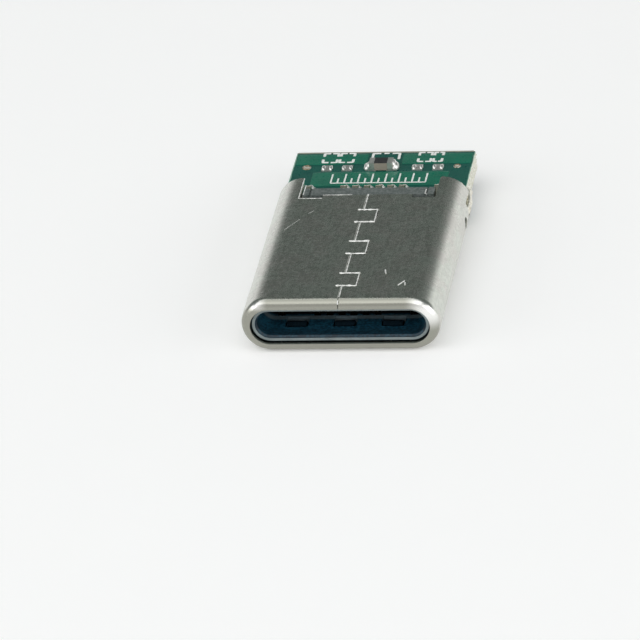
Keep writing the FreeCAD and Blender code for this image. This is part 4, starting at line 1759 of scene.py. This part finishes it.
@dataclass
class SolderJoints:
    """Every soldered joint: contact feet, shell wings and the chip resistor.

    shell_lumps are the swellings of the right-hand shell joint, which the left one mirrors.
    """

    bright: BrightSolder = BrightSolder()
    fluxed: BrightSolder = BrightSolder("fluxed_solder", (0.90, 0.88, 0.79), (0.62, 0.57, 0.45),
                                        roughness=0.42)
    contact_pitch: float = 0.50
    middle_place: float = 6.5
    foot_y: float = 3.735
    board_middle: float = TOP / 2
    pad_face: float = 0.435
    foot: Beads = Beads(0.35, 0.42, 0.235, 0.35, 0.90, 1.0)
    shell_skin: Fusion = Fusion(0.028, 50)
    shell_lumps: tuple[Lump, ...] = (
        Lump((3.72, 3.42, 1.64), (0.20, 0.34, 0.19)),
        Lump((3.78, 3.72, 1.60), (0.15, 0.20, 0.14)),
        Lump((3.66, 3.05, 1.66), (0.18, 0.20, 0.17)),
        Lump((3.95, 3.66, 1.40), (0.16, 0.34, 0.24)),
        Lump((3.98, 3.98, 1.30), (0.13, 0.18, 0.17)),
        Lump((4.02, 3.30, 1.20), (0.14, 0.36, 0.30)),
        Lump((4.03, 2.84, 1.16), (0.12, 0.34, 0.27)),
        Lump((3.97, 2.52, 1.18), (0.14, 0.20, 0.26)),
        Lump((3.72, 3.36, 0.76), (0.20, 0.36, 0.19)),
        Lump((3.68, 3.70, 0.79), (0.17, 0.19, 0.14)),
        Lump((3.87, 3.20, 0.96), (0.10, 0.26, 0.26)),
    )
    resistor_skin: Fusion = Fusion(0.022, floor=1.632)
    resistor_lumps: tuple[Lump, ...] = (
        Lump((-0.60, 5.69, 1.64), (0.17, 0.28, 0.20)),
        Lump((-0.52, 5.64, 1.75), (0.11, 0.22, 0.18)),
        Lump((0.60, 5.66, 1.65), (0.18, 0.28, 0.25)),
        Lump((0.53, 5.70, 1.82), (0.12, 0.25, 0.17)),
    )

    def build(self, shop: Workshop) -> None:
        """Make a bead over each contact's foot, the shell's two joints and the resistor's fillets.

        Args:
            shop: Where pieces are made.
        """
        for row, side in (("upper", 1.0), ("lower", -1.0)):
            level = self.board_middle + side * self.pad_face
            spots = [((place - self.middle_place) * self.contact_pitch, self.foot_y, level)
                     for place in CONTACT_PLACES]
            beads = self.foot.at(f"{row}_foot_beads", spots, shop.finish(self.bright))
            shop.piece(f"{row}_foot_beads", beads, self.bright, (f"{row}_foot_solder",))
        for name, side in (("left", -1.0), ("right", 1.0)):
            joint = self.shell_skin.of([lump.on_side(side) for lump in self.shell_lumps])
            shop.piece(f"{name}_shell_joint", joint, self.fluxed, (f"{name}_shell_solder",))
        fillets = self.resistor_skin.of(self.resistor_lumps)
        shop.piece("resistor_fillets", fillets, self.bright, ("resistor_solder",))


@dataclass
class ChipResistor:
    """The chip resistor on the seam side."""

    body: ChipCeramic = ChipCeramic()
    cap: TinnedCopper = TinnedCopper()

    def build(self, shop: Workshop) -> None:
        """Dress the resistor.

        Args:
            shop: Where pieces are made.
        """
        shop.dress("resistor_body", self.body)
        shop.dress("resistor_caps", self.cap)


@dataclass(frozen=True)
class Lamp:
    """Soft rectangular lamp that faces the object: its place and size, and how bright its face looks."""

    name: str
    place: Spot
    size: Point
    radiance: float

    def hang(self) -> None:
        """Hang the lamp."""
        data = bpy.data.lights.new(self.name, "AREA")
        data.shape = "RECTANGLE"
        data.size, data.size_y = (side * MM for side in self.size)
        data.energy = self.radiance * math.pi * data.size * data.size_y
        shape = in_scene(self.name, data)
        shape.location = Vector(self.place) * MM
        shape.rotation_mode = "QUATERNION"
        shape.rotation_quaternion = Vector(self.place).to_track_quat("Z", "Y")


@dataclass
class Studio:
    """Camera, white card, lamps and the room round them.

    The room is low_room near the ground; above it is high_room behind and front_room in front.
    """

    azimuth: float = 11.322
    elevation: float = 29.15
    roll: float = 6.07
    pixels_per_mm: float = 24.514
    distance: float = 270.0
    nearest: float = 10.0
    farthest: float = 10000.0
    mouth: Spot = (0.0, MOUTH, TOP / 2)
    mouth_right_of_middle: float = 19.58
    mouth_above_middle: float = -6.85
    image: float = 640.0
    sensor: float = 36.0
    card: StageCard = StageCard()
    card_half: float = 900.0
    card_drop: float = 0.02
    lamps: tuple[Lamp, ...] = (
        Lamp("overhead", (-30.0, -70.0, 260.0), (420.0, 300.0), 1.05),
        Lamp("left_fill", (-250.0, -110.0, 110.0), (220.0, 120.0), 1.3),
        Lamp("right_fill", (250.0, -90.0, 120.0), (270.0, 140.0), 1.35),
    )
    low_room: Colour = WHITE
    high_room: Colour = (0.118, 0.135, 0.127)
    front_room: Colour = (0.75, 0.75, 0.75)
    front_from: float = 0.1
    front_to: float = -0.6
    high_from: float = 0.08
    high_to: float = 0.36
    right_drop: float = 0.04

    def build(self, shop: Workshop) -> None:
        """Set the camera, the card, the lamps and the world.

        Args:
            shop: Where materials are made.
        """
        self.set_camera()
        self.lay_card(shop)
        for lamp in self.lamps:
            lamp.hang()
        self.light_world()

    def set_camera(self) -> None:
        """Camera at the photograph's viewing angle."""
        turn, lift, roll = (math.radians(angle) for angle in (self.azimuth, self.elevation, self.roll))
        back = Vector((math.sin(turn) * math.cos(lift), -math.cos(turn) * math.cos(lift), math.sin(lift)))
        level = Vector((math.cos(turn), math.sin(turn), 0.0))
        upright = back.cross(level)
        right = level * math.cos(roll) - upright * math.sin(roll)
        up = level * math.sin(roll) + upright * math.cos(roll)
        place = Vector(self.mouth) + back * self.distance
        place -= right * (self.mouth_right_of_middle / self.pixels_per_mm)
        place -= up * (self.mouth_above_middle / self.pixels_per_mm)
        data = bpy.data.cameras.new("camera")
        data.sensor_width = self.sensor
        data.lens = self.pixels_per_mm * self.distance * self.sensor / self.image
        data.clip_start = self.nearest * MM
        data.clip_end = self.farthest * MM
        camera = in_scene("camera", data)
        turned = Matrix((right, up, back)).transposed().to_4x4()
        camera.matrix_world = Matrix.Translation(place * MM) @ turned
        bpy.context.scene.camera = camera

    def lay_card(self, shop: Workshop) -> None:
        """Lay the white card just under the object.

        Args:
            shop: Where materials are made.
        """
        mesh = bpy.data.meshes.new("card")
        with edited(mesh) as work:
            bmesh.ops.create_grid(work, x_segments=1, y_segments=1, size=self.card_half * MM)
        mesh.transform(Matrix.Translation((0.0, 0.0, -self.card_drop * MM)))
        mesh.materials.append(shop.finish(self.card))
        in_scene("card", mesh)

    def light_world(self) -> None:
        """World: white to the camera, and the room to everything else."""
        world = bpy.data.worlds.new("studio")
        bpy.context.scene.world = world
        world.use_nodes = True
        tree = Tree(world.node_tree)
        world.node_tree.nodes.clear()
        direction = tree.split(tree.node("ShaderNodeTexCoord").outputs["Generated"])
        front = direction.y.rise(self.front_from, self.front_to)
        height = (direction.z - direction.x * self.right_drop).rise(self.high_from, self.high_to)
        room = tree.mix(height, self.low_room, tree.mix(front, self.high_room, self.front_room))
        seen = tree.number(tree.node("ShaderNodeLightPath"), "Is Camera Ray")
        colour = tree.mix(seen, room, WHITE)
        sky = tree.node("ShaderNodeBackground", {}, {"Color": colour, "Strength": 1.0})
        tree.node("ShaderNodeOutputWorld", {}, {"Surface": sky.outputs[0]})


def main() -> None:
    """Build every sub-assembly in order and the studio round it."""
    logging.basicConfig(level=logging.INFO, format="%(name)s: %(message)s")
    scene = bpy.context.scene
    scene.view_settings.view_transform = "Standard"
    shop = Workshop()
    for assembly in (PlugShell(), MouldedCore(), WiringBoard(), SolderJoints(), ChipResistor(), Studio()):
        assembly.build(shop)


if __name__ == "__main__":
    main()
